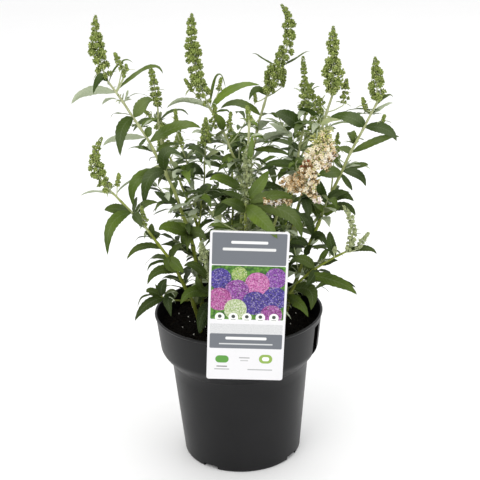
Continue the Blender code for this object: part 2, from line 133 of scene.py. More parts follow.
# The side spikes, in runs on one cane. Each spike: height where its stalk starts, foot, tip
# and radius.
SIDE_SPIKES = (
    ("left_tall", (449, (-122, 8, 475), (-129, 8, 494), 4.6),
     (449, (-120, 6, 467), (-120, 6, 474), 3.0),
     (450, (-117, 6, 474), (-117, 6, 481), 2.7)),
    ("left_branch", (405, (-95, 45, 412), (-104, 45, 420), 3.4)),
    ("shoot_left", (377, (-64, 12, 400), (-65, 12, 427), 4.6),
     (377, (-59, 15, 381), (-62, 15, 399), 3.6)),
    ("shoot_inner", (377, (-33, 25, 379), (-31, 25, 413), 7.0)),
    ("mid_left", (395, (-5, 40, 396), (-2, 40, 415), 4.4),
     (419, (-15, 48, 439), (-12, 48, 454), 3.4),
     (419, (-45, 48, 439), (-54, 48, 454), 3.8),
     (400, (-22, 40, 396), (-20, 38, 424), 6.0)),
    ("mid_tall", (423, (28, 75, 418), (27, 75, 429), 3.2),
     (423, (46, 84, 428), (41, 84, 453), 6.2),
     (423, (59, 86, 432), (64, 86, 446), 5.0),
     (400, (22, 70, 389), (17, 70, 410), 4.8)),
    ("mid_right", (367, (109, 58, 393), (88, 58, 445), 6.4),
     (380, (98, 62, 384), (104, 60, 400), 5.0)),
    ("right_tall", (412, (129, 40, 419), (133, 40, 450), 6.4),
     (415, (106, 42, 418), (100, 42, 430), 5.0)),
    ("right_arch", (403, (168, 0, 403), (172, 0, 416), 3.6),
     (421, (151, 2, 422), (147, 2, 436), 4.2)),
    ("shoot_bloom", (352, (116, 18, 355), (121, 18, 392), 5.8)),
    ("right_low", (275, (133, -66, 279), (147, -66, 299), 4.8),
     (268, (109, -66, 276), (110, -66, 283), 3.8)),
    ("left_low", (298, (-103, -45, 307), (-105, -45, 331), 4.4),
     (345, (-130, -52, 357), (-127, -52, 372), 4.2),
     (345, (-146, -48, 358), (-152, -46, 370), 4.2)),
    ("back_left", (340, (-74, 120, 350), (-68, 122, 372), 4.4)),
    ("back_right", (345, (84, 124, 356), (78, 126, 378), 4.6)),
    ("back_mid", (330, (8, 140, 344), (13, 142, 362), 4.2)),
)

# The leaves listed one by one, in runs on one cane or spike. Each leaf: height on it, tip, bow at the
# middle, width, the angle its upper face turns to the front, and its tone.
HAND_LEAVES = (
    ("left_tall", (449, (-180, -5, 441), (-4, 3, 7), 13, -70, "pale"),
     (450, (-76, 0, 471), (8, 0, 15), 9, 30, "green"),
     (462, (-155, -2, 451), (1, -5, 12), 10, 60, "dark"),
     (461, (-109, 6, 483), (-3, 0, 7), 4, 20, "green"),
     (420, (-88, -10, 443), (0, 1, 5), 15, 75, "green"),
     (422, (-139, 12, 419), (-3, -2, 4), 5, 0, "green"),
     (420, (-128, -16, 382), (-4, -8, 11), 15, 75, "dark")),
    ("left_branch", (405, (-116, 25, 399), (0, 3, 7), 8, 20, "dark"),
     (407, (-51, 35, 414), (2, 2, 8), 8, 20, "dark")),
    ("left_tall", (396, (-150, 12, 387), (-3, 2, 4), 11, -60, "pale"),
     (396, (-107, -8, 387), (-1, -2, 0), 5, 30, "dark"),
     (396, (-92, 5, 407), (0, -2, 3), 10, 60, "pale"),
     (390, (-36, -14, 411), (1, -3, 9), 14, 62, "green")),
    ("left_branch", (367, (-99, 20, 364), (-2, 6, 1), 4, 0, "dark")),
    ("left_tall", (355, (-62, -10, 381), (-7, -5, 11), 15, 75, "dark")),
    ("left_low", (347, (-172, -50, 347), (0, 0, 4), 8, -40, "pale")),
    ("left_tall", (354, (-103, -32, 324), (-5, -10, 18), 15, 72, "dark"),
     (355, (-115, -34, 327), (-12, -9, 14), 14, 72, "bright"),
     (356, (-135, -18, 338), (-6, -5, 4), 7, -30, "pale")),
    ("left_low", (327, (-145, -60, 333), (-1, -2, 2), 13, 62, "green"),
     (325, (-143, -76, 286), (-7, -5, 13), 14, 75, "bright"),
     (324, (-105, -66, 314), (1, -4, 4), 11, 65, "green")),
    ("left_tall", (319, (-92, -18, 340), (-1, -6, 0), 10, 60, "dark"),
     (318, (-90, -2, 316), (-2, -2, 3), 4, 20, "dark")),
    ("left_low", (290, (-115, -52, 290), (0, -2, 5), 4, 0, "dark"),
     (277, (-124, -60, 274), (-1, -1, 9), 10, 35, "green"),
     (296, (-95, -40, 309), (0, 0, 0), 8, 40, "pale")),
    ("left_tall", (277, (-87, -50, 304), (-2, -12, 10), 15, 62, "bright"),
     (270, (-34, -40, 286), (-3, -10, 13), 15, 70, "green")),
    ("left_low", (264, (-61, -66, 258), (1, -7, 4), 14, 75, "bright"),
     (267, (-69, -54, 253), (-2, -3, 1), 14, 60, "pale"),
     (246, (-102, -66, 245), (-2, -6, 11), 12, 60, "green"),
     (260, (-103, -48, 254), (-2, 0, 4), 6, 20, "dark")),
    ("shoot_rim", (226, (-103, -70, 237), (-3, -3, 5), 10, 60, "pale"),
     (227, (-80, -58, 248), (-3, -3, 2), 12, 80, "dark"),
     (226, (-114, -78, 222), (-2, -3, 9), 5, 0, "green"),
     (224, (-117, -84, 209), (-1, -4, 8), 12, 60, "green"),
     (217, (-76, -82, 212), (-4, -5, 12), 13, 70, "dark")),
    ("front_low", (221, (-65, -80, 226), (-2, -4, 12), 14, 70, "bright"),
     (207, (-46, -84, 192), (-2, -12, 14), 14, 70, "dark"),
     (213, (-46, -78, 188), (1, -9, 4), 11, 78, "dark"),
     (226, (-45, -70, 258), (-5, -7, -2), 8, 60, "green"),
     (240, (-60, -66, 266), (1, -4, 10), 10, 60, "pale")),
    ("shoot_left", (336, (-67, -5, 344), (-6, -4, 12), 13, 72, "dark")),
    ("mid_left", (321, (-29, -12, 349), (-1, -10, 9), 13, 62, "bright")),
    ("shoot_left", (337, (-51, -8, 344), (-5, -4, 14), 15, 70, "bright")),
    ("shoot_inner", (366, (-54, 12, 380), (2, -3, 5), 9, 40, "green"),
     (374, (-57, 16, 382), (-2, -1, 3), 5, 10, "dark"),
     (363, (-65, 8, 363), (-2, -4, 3), 5, 10, "dark"),
     (363, (-13, 10, 365), (-1, -5, 4), 7, 30, "dark"),
     (340, (-48, 0, 349), (-7, -10, 13), 14, 80, "dark")),
    ("shoot_left", (335, (-68, 0, 343), (-6, -15, 14), 12, -75, "pale")),
    ("front", (374, (21, -50, 410), (1, -3, 0), 6, 86, "bright"),
     (317, (-16, -60, 338), (2, -6, 6), 12, 62, "green"),
     (328, (64, -62, 339), (3, -8, 9), 12, 60, "green"),
     (326, (44, -103, 309), (-1, -10, 6), 18, 76, "bright"),
     (326, (72, -80, 300), (12, -9, 14), 17, 76, "green"),
     (334, (38, -54, 371), (2, -4, 1), 14, 84, "bright")),
    ("shoot_inner", (312, (-57, 0, 326), (-4, -4, 5), 8, 40, "pale"),
     (298, (-5, 20, 320), (0, -5, 9), 12, 60, "dark")),
    ("mid_tall", (350, (-3, 45, 361), (1, 6, 16), 13, 72, "dark")),
    ("mid_right", (383, (49, 45, 410), (1, -1, 6), 18, 78, "dark")),
    ("mid_tall", (369, (68, 62, 382), (-1, 6, 0), 12, -60, "pale"),
     (362, (67, 50, 357), (1, 2, 3), 9, 45, "green")),
    ("right_tall", (346, (35, 15, 351), (-9, 1, 7), 10, 50, "dark")),
    ("mid_left", (419, (-76, 38, 423), (-2, 1, 9), 10, -50, "pale"),
     (419, (33, 45, 445), (-4, 0, 9), 11, 50, "bright")),
    ("mid_tall", (401, (-14, 60, 415), (1, 1, 9), 12, 40, "green"),
     (425, (20, 72, 421), (-1, 1, 10), 9, 50, "dark")),
    ("mid_left", (413, (-3, 42, 413), (2, -1, 3), 5, 20, "dark"),
     (393, (-20, 32, 414), (2, -2, 2), 11, 70, "green"),
     (420, (-7, 50, 441), (-1, 2, 22), 5, 10, "green")),
    ("spike_mid_tall", (459, (25, 85, 474), (-1, 2, -1), 4, 20, "pale"),
     (457, (94, 85, 475), (3, 2, 0), 5, 20, "pale")),
    ("right_arch", (402, (109, -10, 418), (6, -1, 4), 15, 70, "dark"),
     (422, (125, 4, 418), (0, 2, 2), 5, 10, "dark"),
     (402, (184, -14, 389), (4, -1, 6), 13, 68, "dark"),
     (373, (189, -4, 391), (1, 0, 4), 10, 55, "green"),
     (373, (119, 2, 379), (3, -1, 1), 9, 50, "green"),
     (354, (154, -2, 358), (4, 1, 1), 8, 40, "green"),
     (352, (150, -12, 336), (4, 0, 5), 11, 60, "dark"),
     (349, (135, -8, 330), (1, 0, -1), 7, 60, "dark"),
     (350, (95, -14, 351), (0, -3, 2), 15, 65, "green"),
     (313, (96, -10, 346), (-2, -3, 2), 11, 75, "dark"),
     (313, (136, -16, 320), (-2, 0, 9), 14, 62, "dark"),
     (303, (137, -24, 305), (5, -2, 9), 11, 62, "dark"),
     (300, (124, -14, 313), (-5, 2, 0), 13, 66, "bright")),
    ("right_tall", (318, (84, -12, 299), (1, -14, 2), 12, 75, "dark")),
    ("right_arch", (274, (66, -16, 295), (3, -3, 14), 13, 70, "dark"),
     (267, (104, -20, 268), (0, -3, 10), 12, 62, "dark"),
     (262, (62, -20, 270), (-2, -3, 7), 11, 60, "dark"),
     (249, (89, -20, 267), (-1, -3, 4), 9, 60, "dark")),
    ("right_low", (252, (59, -66, 267), (1, -3, 8), 12, 60, "green"),
     (257, (114, -56, 263), (-1, 3, 0), 8, 40, "pale"),
     (244, (132, -90, 235), (3, -3, 5), 14, 74, "bright"),
     (238, (133, -70, 235), (4, 0, 3), 9, 50, "dark"),
     (253, (77, -62, 236), (3, 1, 0), 13, 65, "dark"),
     (240, (84, -70, 233), (21, -1, 4), 10, 55, "pale"),
     (269, (104, -68, 303), (-2, 0, 1), 11, 72, "dark"),
     (276, (156, -70, 275), (3, 0, 5), 8, 50, "green"),
     (211, (78, -84, 207), (-1, -13, 12), 14, 76, "bright"),
     (224, (82, -72, 210), (9, -5, 12), 17, 75, "pale")),
    ("right_arch", (427, (182, 4, 435), (0, 0, 4), 6, 30, "pale")),
)

# Stretches of cane set with felted young flower buds: cane, lower and upper height, radius.
COLUMNS = (("front", 329, 398, 11.5), ("mid_left", 326, 352, 7.0), ("front_low", 240, 262, 6.0))

# Where the growing rule sets leaves: cane, lowest and highest node, internode,
# leaf length, chance of a side shoot, and True where leaves grow to the back only.
LEAFY = (
    ("left_tall", 196, 330, 30, 58, 0.45, False),
    ("left_tall", 345, 455, 33, 46, 0.0, True),
    ("left_branch", 372, 415, 30, 34, 0.0, True),
    ("mid_left", 200, 405, 30, 60, 0.45, False),
    ("mid_tall", 200, 415, 31, 58, 0.40, False),
    ("front", 200, 300, 30, 56, 0.30, False),
    ("front", 330, 410, 26, 44, 0.0, True),
    ("mid_right", 200, 392, 30, 58, 0.40, False),
    ("right_tall", 200, 405, 31, 58, 0.40, False),
    ("right_arch", 200, 300, 31, 54, 0.35, False),
    ("right_arch", 315, 425, 34, 46, 0.0, True),
    ("right_low", 196, 270, 28, 40, 0.0, True),
    ("left_low", 196, 345, 30, 42, 0.0, True),
    ("bloom", 200, 320, 28, 52, 0.30, False),
    ("front_low", 198, 255, 24, 40, 0.0, True),
    ("shoot_rim", 214, 226, 8, 22, 0.0, True),
    ("shoot_inner", 285, 372, 26, 34, 0.0, False),
    ("shoot_left", 290, 372, 26, 32, 0.0, False),
    ("back_left", 198, 338, 24, 62, 0.65, False),
    ("back_mid", 198, 330, 23, 60, 0.65, False),
    ("back_right", 198, 345, 24, 62, 0.65, False),
)

# Stretches of cane wrapped in young felted leaves: cane, lower and upper height,
# number of leaves and their length.
FELTED = (
    ("front", 332, 384, 90, 12), ("front", 292, 334, 44, 9), ("front", 378, 408, 22, 10),
    ("front_low", 252, 262, 12, 10), ("left_low", 300, 322, 12, 12), ("right_low", 262, 274, 8, 10),
    ("left_tall", 440, 458, 10, 9), ("mid_left", 330, 352, 10, 12), ("left_branch", 398, 412, 8, 8),
)

BLOOM_TIP = (104, -60, 416)
BLOOM_BOW = (-3, 0, 0)

# The bloom's heads of florets: middle, radius and kind.
BLOOM_HEADS = (
    ((100, -60, 412), 6.5, "green"), ((90, -62, 407), 7.0, "green"), ((103, -58, 400), 7.5, "budding"),
    ((91, -66, 396), 8.0, "budding"), ((106, -60, 388), 7.5, "pink"), ((82, -62, 391), 7.5, "cream"),
    ((94, -70, 386), 8.0, "cream"), ((79, -70, 383), 5.5, "brown"), ((99, -66, 378), 7.0, "tan"),
    ((85, -74, 375), 8.5, "mixed"), ((71, -72, 370), 7.5, "spent"), ((56, -64, 360), 8.0, "tan"),
    ((85, -74, 363), 8.0, "mixed"), ((70, -70, 355), 8.0, "spent"), ((82, -70, 351), 7.0, "mixed"),
    ((90, -68, 341), 6.0, "white"), ((44, -60, 336), 5.5, "pink"), ((57, -62, 337), 6.0, "tan"),
    ((34, -58, 337), 4.0, "tan"), ((100, -44, 398), 7.0, "cream"), ((94, -42, 382), 8.0, "cream"),
    ((85, -42, 369), 8.0, "cream"), ((75, -44, 355), 8.0, "tan"), ((64, -46, 345), 7.0, "cream"),
    ((99, -64, 392), 7.5, "cream"), ((64, -72, 365), 7.5, "tan"), ((62, -70, 356), 6.5, "spent"),
)

# What each kind of head is made of: shares of the bloom's pieces.
BLOOM_KINDS = {
    "green": (("buds_green", 0.56), ("buds_cream", 0.32), ("florets_cream", 0.12)),
    "cream": (("florets_cream", 0.72), ("buds_cream", 0.09), ("florets_pale", 0.13),
              ("florets_tan", 0.06)),
    "budding": (("buds_green", 0.34), ("buds_cream", 0.20), ("florets_cream", 0.46)),
    "white": (("florets_pale", 1.0),),
    "mixed": (("florets_cream", 0.58), ("florets_tan", 0.18), ("spent", 0.14),
              ("buds_green", 0.10)),
    "pink": (("florets_cream", 0.30), ("florets_pale", 0.62), ("florets_tan", 0.08)),
    "tan": (("florets_cream", 0.44), ("florets_tan", 0.40), ("spent", 0.16)),
    "spent": (("florets_cream", 0.30), ("florets_tan", 0.42), ("spent", 0.28)),
    "brown": (("florets_cream", 0.34), ("florets_tan", 0.20), ("florets_brown", 0.46)),
}

# Lobes, fading lobes and eye of each kind of floret.
BLOOM_COLOURS = {
    "bloom_florets_cream": ((0.870, 0.830, 0.660), (0.690, 0.540, 0.310), (0.500, 0.230, 0.050)),
    "bloom_florets_pale": ((0.850, 0.800, 0.760), (0.760, 0.640, 0.580), (0.420, 0.200, 0.060)),
    "bloom_florets_tan": ((0.760, 0.600, 0.360), (0.480, 0.300, 0.130), (0.220, 0.090, 0.022)),
    "bloom_florets_brown": ((0.190, 0.070, 0.022), (0.290, 0.075, 0.028), (0.070, 0.022, 0.010)),
}

# How far back a grown leaf may reach, in metres.
DEEPEST = 0.152

# The share of grown leaves that show their felted underside.
TURNED_OVER = 0.30

TONES = ("dark", "green", "bright", "pale", "young")
LEAF_NODES = sorted(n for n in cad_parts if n.startswith("leaves_"))
CANE_NODES = sorted(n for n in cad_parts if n.startswith("cane_"))
SPIKE_NODES = sorted(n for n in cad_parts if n.startswith("spike_"))


# Settings that a user would change.
def colour_setting(name, description, default):
    """A colour setting in linear red, green and blue."""
    return bpy.props.FloatVectorProperty(
        name=name, description=description, subtype="COLOR", size=3, min=0, max=1, default=default)


class BushPotSettings(bpy.types.PropertyGroup):
    """Colours and counts of the pot, compost and label."""
    plastic: colour_setting("Pot plastic", "Colour of the moulded pot", (0.0058, 0.0058, 0.0064))
    scuff: colour_setting("Pot scuffs", "Paler bloom on the plastic", (0.0135, 0.0135, 0.0148))
    # The compost colours are partly the compost's own dark colour and partly painted shade inside the pot.
    peat_and_shade: colour_setting("Compost", "Dark colour of the compost", (0.0026, 0.0022, 0.0018))
    bark: colour_setting("Compost bark", "Paler bits in the compost", (0.010, 0.0074, 0.0050))
    crumbs: bpy.props.IntProperty(
        name="Crumbs", description="Loose crumbs on the compost", default=1500, min=0)
    card: colour_setting("Card", "Colour of the plain card", (0.775, 0.77, 0.785))
    band: colour_setting("Card bands", "Grey of the printed bands", (0.148, 0.160, 0.180))


class BushPlantSettings(bpy.types.PropertyGroup):
    """Colours and sizes of the plant."""
    leaf_dark: colour_setting("Dark leaves", "Upper face of shaded leaves", (0.045, 0.080, 0.011))
    leaf_green: colour_setting("Green leaves", "Upper face of most leaves", (0.082, 0.130, 0.018))
    leaf_bright: colour_setting("Bright leaves", "Upper face of sunlit leaves", (0.118, 0.192, 0.022))
    leaf_young: colour_setting("Young leaves", "Upper face of felted young leaves", (0.300, 0.360, 0.165))
    leaf_under: colour_setting("Leaf underside", "Felted lower face", (0.430, 0.480, 0.335))
    wood: colour_setting("Lower cane", "Cane near the compost", (0.230, 0.285, 0.034))
    stem: colour_setting("Upper stem", "Felted green stem", (0.490, 0.530, 0.330))
    bud: colour_setting("Buds", "Green flower buds", (0.245, 0.315, 0.078))
    bud_light: colour_setting("Pale buds", "Buds near opening", (0.440, 0.500, 0.200))
    leaf_width: bpy.props.FloatProperty(
        name="Leaf width", description="Width of a grown leaf as a share of its length",
        default=0.25, min=0.05, max=0.6, subtype="FACTOR")
    seed: bpy.props.IntProperty(name="Seed", description="Seed of the growing rule", default=11, min=0)


class BushStageSettings(bpy.types.PropertyGroup):
    """Camera and floor."""
    lens: bpy.props.FloatProperty(
        name="Lens", description="Focal length", default=82.5, min=10, unit="CAMERA")
    floor: colour_setting("Floor", "Colour of the floor", (0.955, 0.955, 0.955))
    size: bpy.props.FloatProperty(
        name="Floor size", description="Side of the square floor", default=24, unit="LENGTH")


# Small helpers.
def done_editing():
    """Goes back to object mode."""
    bpy.ops.object.mode_set(mode="OBJECT")


def start_afresh():
    """Deselects everything, because an operator acts on all that is selected."""
    if bpy.context.object is not None and bpy.context.object.mode != "OBJECT":
        done_editing()
    bpy.ops.object.select_all(action="DESELECT")


def take(piece):
    """Selects one piece alone and makes it active."""
    start_afresh()
    piece.select_set(True)
    bpy.context.view_layer.objects.active = piece


def editing(piece):
    """Takes a piece into edit mode with all of it selected."""
    take(piece)
    bpy.ops.object.mode_set(mode="EDIT")
    bpy.ops.mesh.select_all(action="SELECT")


def put_in_place(piece):
    """Puts a piece's place, turn and size into its mesh."""
    take(piece)
    bpy.ops.object.transform_apply(location=True, rotation=True, scale=True)
    return piece


def box(name, size, place, turn=0.0):
    """A box of a size, stood at a place and turned about the upright axis."""
    start_afresh()
    bpy.ops.mesh.primitive_cube_add(size=1, location=place, rotation=(0, 0, turn))
    piece = bpy.context.object
    piece.name = name
    piece.scale = size
    return put_in_place(piece)


def settle(piece, finishes, nodes, smooth=60):
    """Gives a piece its finishes, smooths it up to an angle and fixes it to the frame."""
    piece.data.materials.clear()
    for finish in finishes:
        piece.data.materials.append(finish)
    take(piece)
    bpy.ops.object.shade_smooth_by_angle(angle=math.radians(smooth))
    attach(piece, "root")
    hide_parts(*nodes)


def combine(piece, other, operation):
    """Joins or cuts a closed piece with another, which is used up."""
    take(piece)
    boolean = piece.modifiers.new(operation.title(), "BOOLEAN")
    boolean.operation = operation
    boolean.solver = "EXACT"
    boolean.object = other
    bpy.ops.object.modifier_apply(modifier=boolean.name)
    bpy.data.objects.remove(other)


def draw_ring(rise, grow, height=0.0):
    """Extrudes the selected ring up by a rise, and grows it about the upright axis."""
    bpy.ops.mesh.extrude_edges_move(TRANSFORM_OT_translate={"value": (0, 0, rise)})
    bpy.ops.transform.resize(value=(grow, grow, 1), center_override=(0, 0, height))


def turned(name, segments, rings):
    """A shape turned about the upright axis: a ring drawn up ring by ring, closed at both ends."""
    start_afresh()
    radius, height = rings[0]
    bpy.ops.mesh.primitive_circle_add(
        vertices=segments, radius=radius, fill_type="NGON", location=(0, 0, height))
    piece = put_in_place(bpy.context.object)
    piece.name = name
    editing(piece)
    bpy.ops.mesh.delete(type="ONLY_FACE")
    bpy.ops.mesh.select_all(action="SELECT")
    for next_radius, next_height in rings[1:]:
        draw_ring(next_height - height, next_radius / radius, next_height)
        radius, height = next_radius, next_height
    bpy.ops.mesh.merge(type="CENTER")
    done_editing()
    for vertex in piece.data.vertices:
        vertex.select = vertex.index < segments
    bpy.ops.object.mode_set(mode="EDIT")
    bpy.ops.mesh.select_mode(type="VERT")
    bpy.ops.mesh.edge_face_add()
    bpy.ops.mesh.select_all(action="SELECT")
    bpy.ops.mesh.normals_make_consistent(inside=False)
    done_editing()
    return piece


class Template:
    """The points, faces and map of a small shape that is copied many times."""

    def __init__(self, piece):
        mesh = piece.data
        self.points = np.array([v.co for v in mesh.vertices])
        self.corners = np.array([c for f in mesh.polygons for c in f.vertices])
        self.totals = np.array([len(f.vertices) for f in mesh.polygons])
        layer = mesh.uv_layers.active
        self.map = np.array([layer.data[i].uv for f in mesh.polygons for i in f.loop_indices])
        bpy.data.objects.remove(piece)


def bundled(name, shapes):
    """One mesh of many copies of small shapes, given as sets of points and their template."""
    points, corners, totals, maps = [], [], [], []
    count = 0
    for places, template in shapes:
        copies, size = places.shape[:2]
        offsets = count + size * np.arange(copies)
        points.append(places.reshape(-1, 3))
        corners.append((template.corners + offsets[:, None]).ravel())
        totals.append(np.tile(template.totals, copies))
        maps.append(np.tile(template.map, (copies, 1)))
        count += copies * size
    corners = np.concatenate(corners)
    totals = np.concatenate(totals)
    starts = np.cumsum(totals) - totals
    mesh = bpy.data.meshes.new(name)
    mesh.vertices.add(count)
    mesh.vertices.foreach_set("co", np.concatenate(points).astype(np.float32).ravel())
    mesh.loops.add(len(corners))
    mesh.loops.foreach_set("vertex_index", corners.astype(np.int32))
    mesh.polygons.add(len(totals))
    mesh.polygons.foreach_set("loop_start", starts.astype(np.int32))
    layer = mesh.uv_layers.new(name="OFBake")
    layer.data.foreach_set("uv", np.concatenate(maps).astype(np.float32).ravel())
    mesh.update(calc_edges=True)
    mesh.validate()
    piece = bpy.data.objects.new(name, mesh)
    bpy.context.scene.collection.objects.link(piece)
    return piece


def mm(values):
    """A vector given in millimetres, in metres."""
    return Vector(values) * MM


def unit(vectors):
    """Vectors of an array, each made one long."""
    return vectors / np.maximum(np.linalg.norm(vectors, axis=-1, keepdims=True), 1e-12)


def level(angle):
    """A level direction at an angle."""
    return Vector((math.cos(angle), math.sin(angle), 0))


def scattered(template, origins, axes, spins, scales):
    """Copies of a template stood on origins along axes, spun, and scaled in their own three directions."""
    axes = unit(np.asarray(axes, float))
    helper = np.where(np.abs(axes[:, 2:3]) < 0.9, np.array([[0, 0, 1.0]]), np.array([[1.0, 0, 0]]))
    side = unit(np.cross(helper, axes))
    other = np.cross(axes, side)
    cos = np.cos(np.asarray(spins))[:, None]
    sin = np.sin(np.asarray(spins))[:, None]
    first = side * cos + other * sin
    second = other * cos - side * sin
    shape = template.points[None, :, :] * np.asarray(scales, float)[:, None, :]
    return (np.asarray(origins, float)[:, None, :] + shape[:, :, 0:1] * first[:, None, :]
            + shape[:, :, 1:2] * second[:, None, :] + shape[:, :, 2:3] * axes[:, None, :])


# The lines that canes, shoots and spikes follow.
class Line:
    """A bowed line from foot to tip, after an optional straight start."""

    def __init__(self, foot, tip, bow, start=None, skew=1.0):
        self.foot = Vector(foot)
        self.tip = Vector(tip)
        self.bow = Vector(bow)
        self.start = start
        self.skew = skew

    def point(self, share):
        """The point at a share of the way from foot to tip."""
        drawn = max(share, 0.0) ** self.skew
        return self.foot.lerp(self.tip, share) + self.bow * 4 * drawn * (1 - drawn)

    def direction(self, share):
        """The way the line runs there, from just before to just after."""
        return (self.point(share + 0.01) - self.point(share - 0.01)).normalized()

    def length(self):
        """About how long the line is."""
        return (self.tip - self.foot).length

    def share_at(self, height):
        """The share at which the line reaches a height."""
        steps = 200
        return min(range(steps + 1), key=lambda i: abs(self.point(i / steps).z - height)) / steps

    def at(self, height):
        """The point at which the line reaches a height."""
        return self.point(self.share_at(height))

    def strand(self, steps, first, drop):
        """The line's points, with radii that go down from the first by a drop."""
        return ([self.point(i / steps) for i in range(steps + 1)],
                [first - drop * i / steps for i in range(steps + 1)])


# How far above the compost a cane starts to bow, and how far below that its foot is.
CANE_RISE = 0.005
CANE_DEPTH = 0.009


def plant_lines():
    """The line of every cane and shoot, with its foot and top radius."""
    lines = {}
    for name, (foot, top, bow, foot_radius, top_radius) in CANES.items():
        start = Vector((foot[0] * MM, foot[1] * MM, SOIL_TOP + GAP))
        line = Line(start + UP * CANE_RISE, mm(top), mm(bow), start - UP * CANE_DEPTH)
        lines[name] = (line, foot_radius * MM, top_radius * MM)
    for name, (parent, height, top, bow, foot_radius, top_radius) in SHOOTS.items():
        base = lines[parent][0].at(height * MM)
        lines[name] = (Line(base, mm(top), mm(bow)), foot_radius * MM, top_radius * MM)
    return lines


def spike_line(lines, name):
    """The line of a cane's terminal spike."""
    tip, bow, _, _, skew = SPIKES[name]
    return Line(lines[name][0].point(1.0), mm(tip), mm(bow), skew=skew)


# Node trees.
def add_node(tree, kind, inputs=None, **settings):
    """Adds a node, sets it, and links or fills its inputs."""
    node = tree.nodes.new(kind)
    for key, value in settings.items():
        setattr(node, key, value)
    for key, value in (inputs or {}).items():
        if isinstance(value, bpy.types.NodeSocket):
            tree.links.new(value, node.inputs[key])
        else:
            node.inputs[key].default_value = value
    return node


def maths(tree, operation, first, second=0.0, clamp=False):
    """The output of a Math node."""
    node = add_node(tree, "ShaderNodeMath", {0: first, 1: second}, operation=operation, use_clamp=clamp)
    return node.outputs[0]


def times(tree, first, second):
    """Two values multiplied."""
    return maths(tree, "MULTIPLY", first, second)


def plus(tree, first, second, clamp=False):
    """Two values added."""
    return maths(tree, "ADD", first, second, clamp)


def minus(tree, first, second):
    """One value less another."""
    return maths(tree, "SUBTRACT", first, second)


def axis_of(tree, vector, axis):
    """One of the three numbers of a vector."""
    return add_node(tree, "ShaderNodeSeparateXYZ", {0: vector}).outputs[axis]


def mix(tree, share, first, second, mode="MIX"):
    """The output of a colour mix."""
    node = add_node(tree, "ShaderNodeMix", data_type="RGBA", blend_type=mode, clamp_factor=True)
    for key, value in ((0, share), (6, first), (7, second)):
        if isinstance(value, bpy.types.NodeSocket):
            tree.links.new(value, node.inputs[key])
        elif key == 0:
            node.inputs[key].default_value = value
        else:
            node.inputs[key].default_value = (*value[:3], 1)
    return node.outputs[2]


def stain(tree, colour, tint):
    """A colour multiplied by a tint."""
    return mix(tree, 1.0, colour, tint, "MULTIPLY")


def spread(tree, value, low, high, out_low=0.0, out_high=1.0, smooth=False):
    """A value moved from one range to another, held to it."""
    node = add_node(tree, "ShaderNodeMapRange", {0: value, 1: low, 2: high, 3: out_low, 4: out_high},
                    interpolation_type="SMOOTHSTEP" if smooth else "LINEAR")
    return node.outputs[0]


def grains(tree, vector, scale, detail=3.0, rough=0.55):
    """The factor of a noise texture."""
    node = add_node(tree, "ShaderNodeTexNoise",
                    {"Vector": vector, "Scale": scale, "Detail": detail, "Roughness": rough})
    return node.outputs["Fac"]


def new_group(name, inputs, outputs):
    """A shader node group with named sockets, and its two ends."""
    tree = bpy.data.node_groups.new(name, "ShaderNodeTree")
    for side, sockets in (("INPUT", inputs), ("OUTPUT", outputs)):
        for title, kind in sockets:
            tree.interface.new_socket(title, in_out=side, socket_type="NodeSocket" + kind)
    return tree, tree.nodes.new("NodeGroupInput").outputs, tree.nodes.new("NodeGroupOutput").inputs


SURFACE = [("Color", "Color"), ("Roughness", "Float"), ("Height", "Float")]


def mottle_group():
    """Two colours mottled together, with a fine relief and an uneven roughness."""
    tree, given, result = new_group(
        "mottle",
        [("Vector", "Vector"), ("Ground", "Color"), ("Fleck", "Color"),
         ("Broad Scale", "Float"), ("Fine Scale", "Float"),
         ("Amount", "Float"), ("Roughness", "Float")],
        SURFACE)
    broad = grains(tree, given["Vector"], given["Broad Scale"])
    fine = grains(tree, given["Vector"], given["Fine Scale"], 5.0, 0.65)
    both = plus(tree, times(tree, broad, 0.6), times(tree, fine, 0.4))
    share = times(tree, spread(tree, both, 0.36, 0.66), given["Amount"])
    tree.links.new(mix(tree, share, given["Ground"], given["Fleck"]), result["Color"])
    uneven = spread(tree, both, 0.3, 0.7, -0.09, 0.09)
    tree.links.new(plus(tree, given["Roughness"], uneven), result["Roughness"])
    tree.links.new(fine, result["Height"])
    return tree


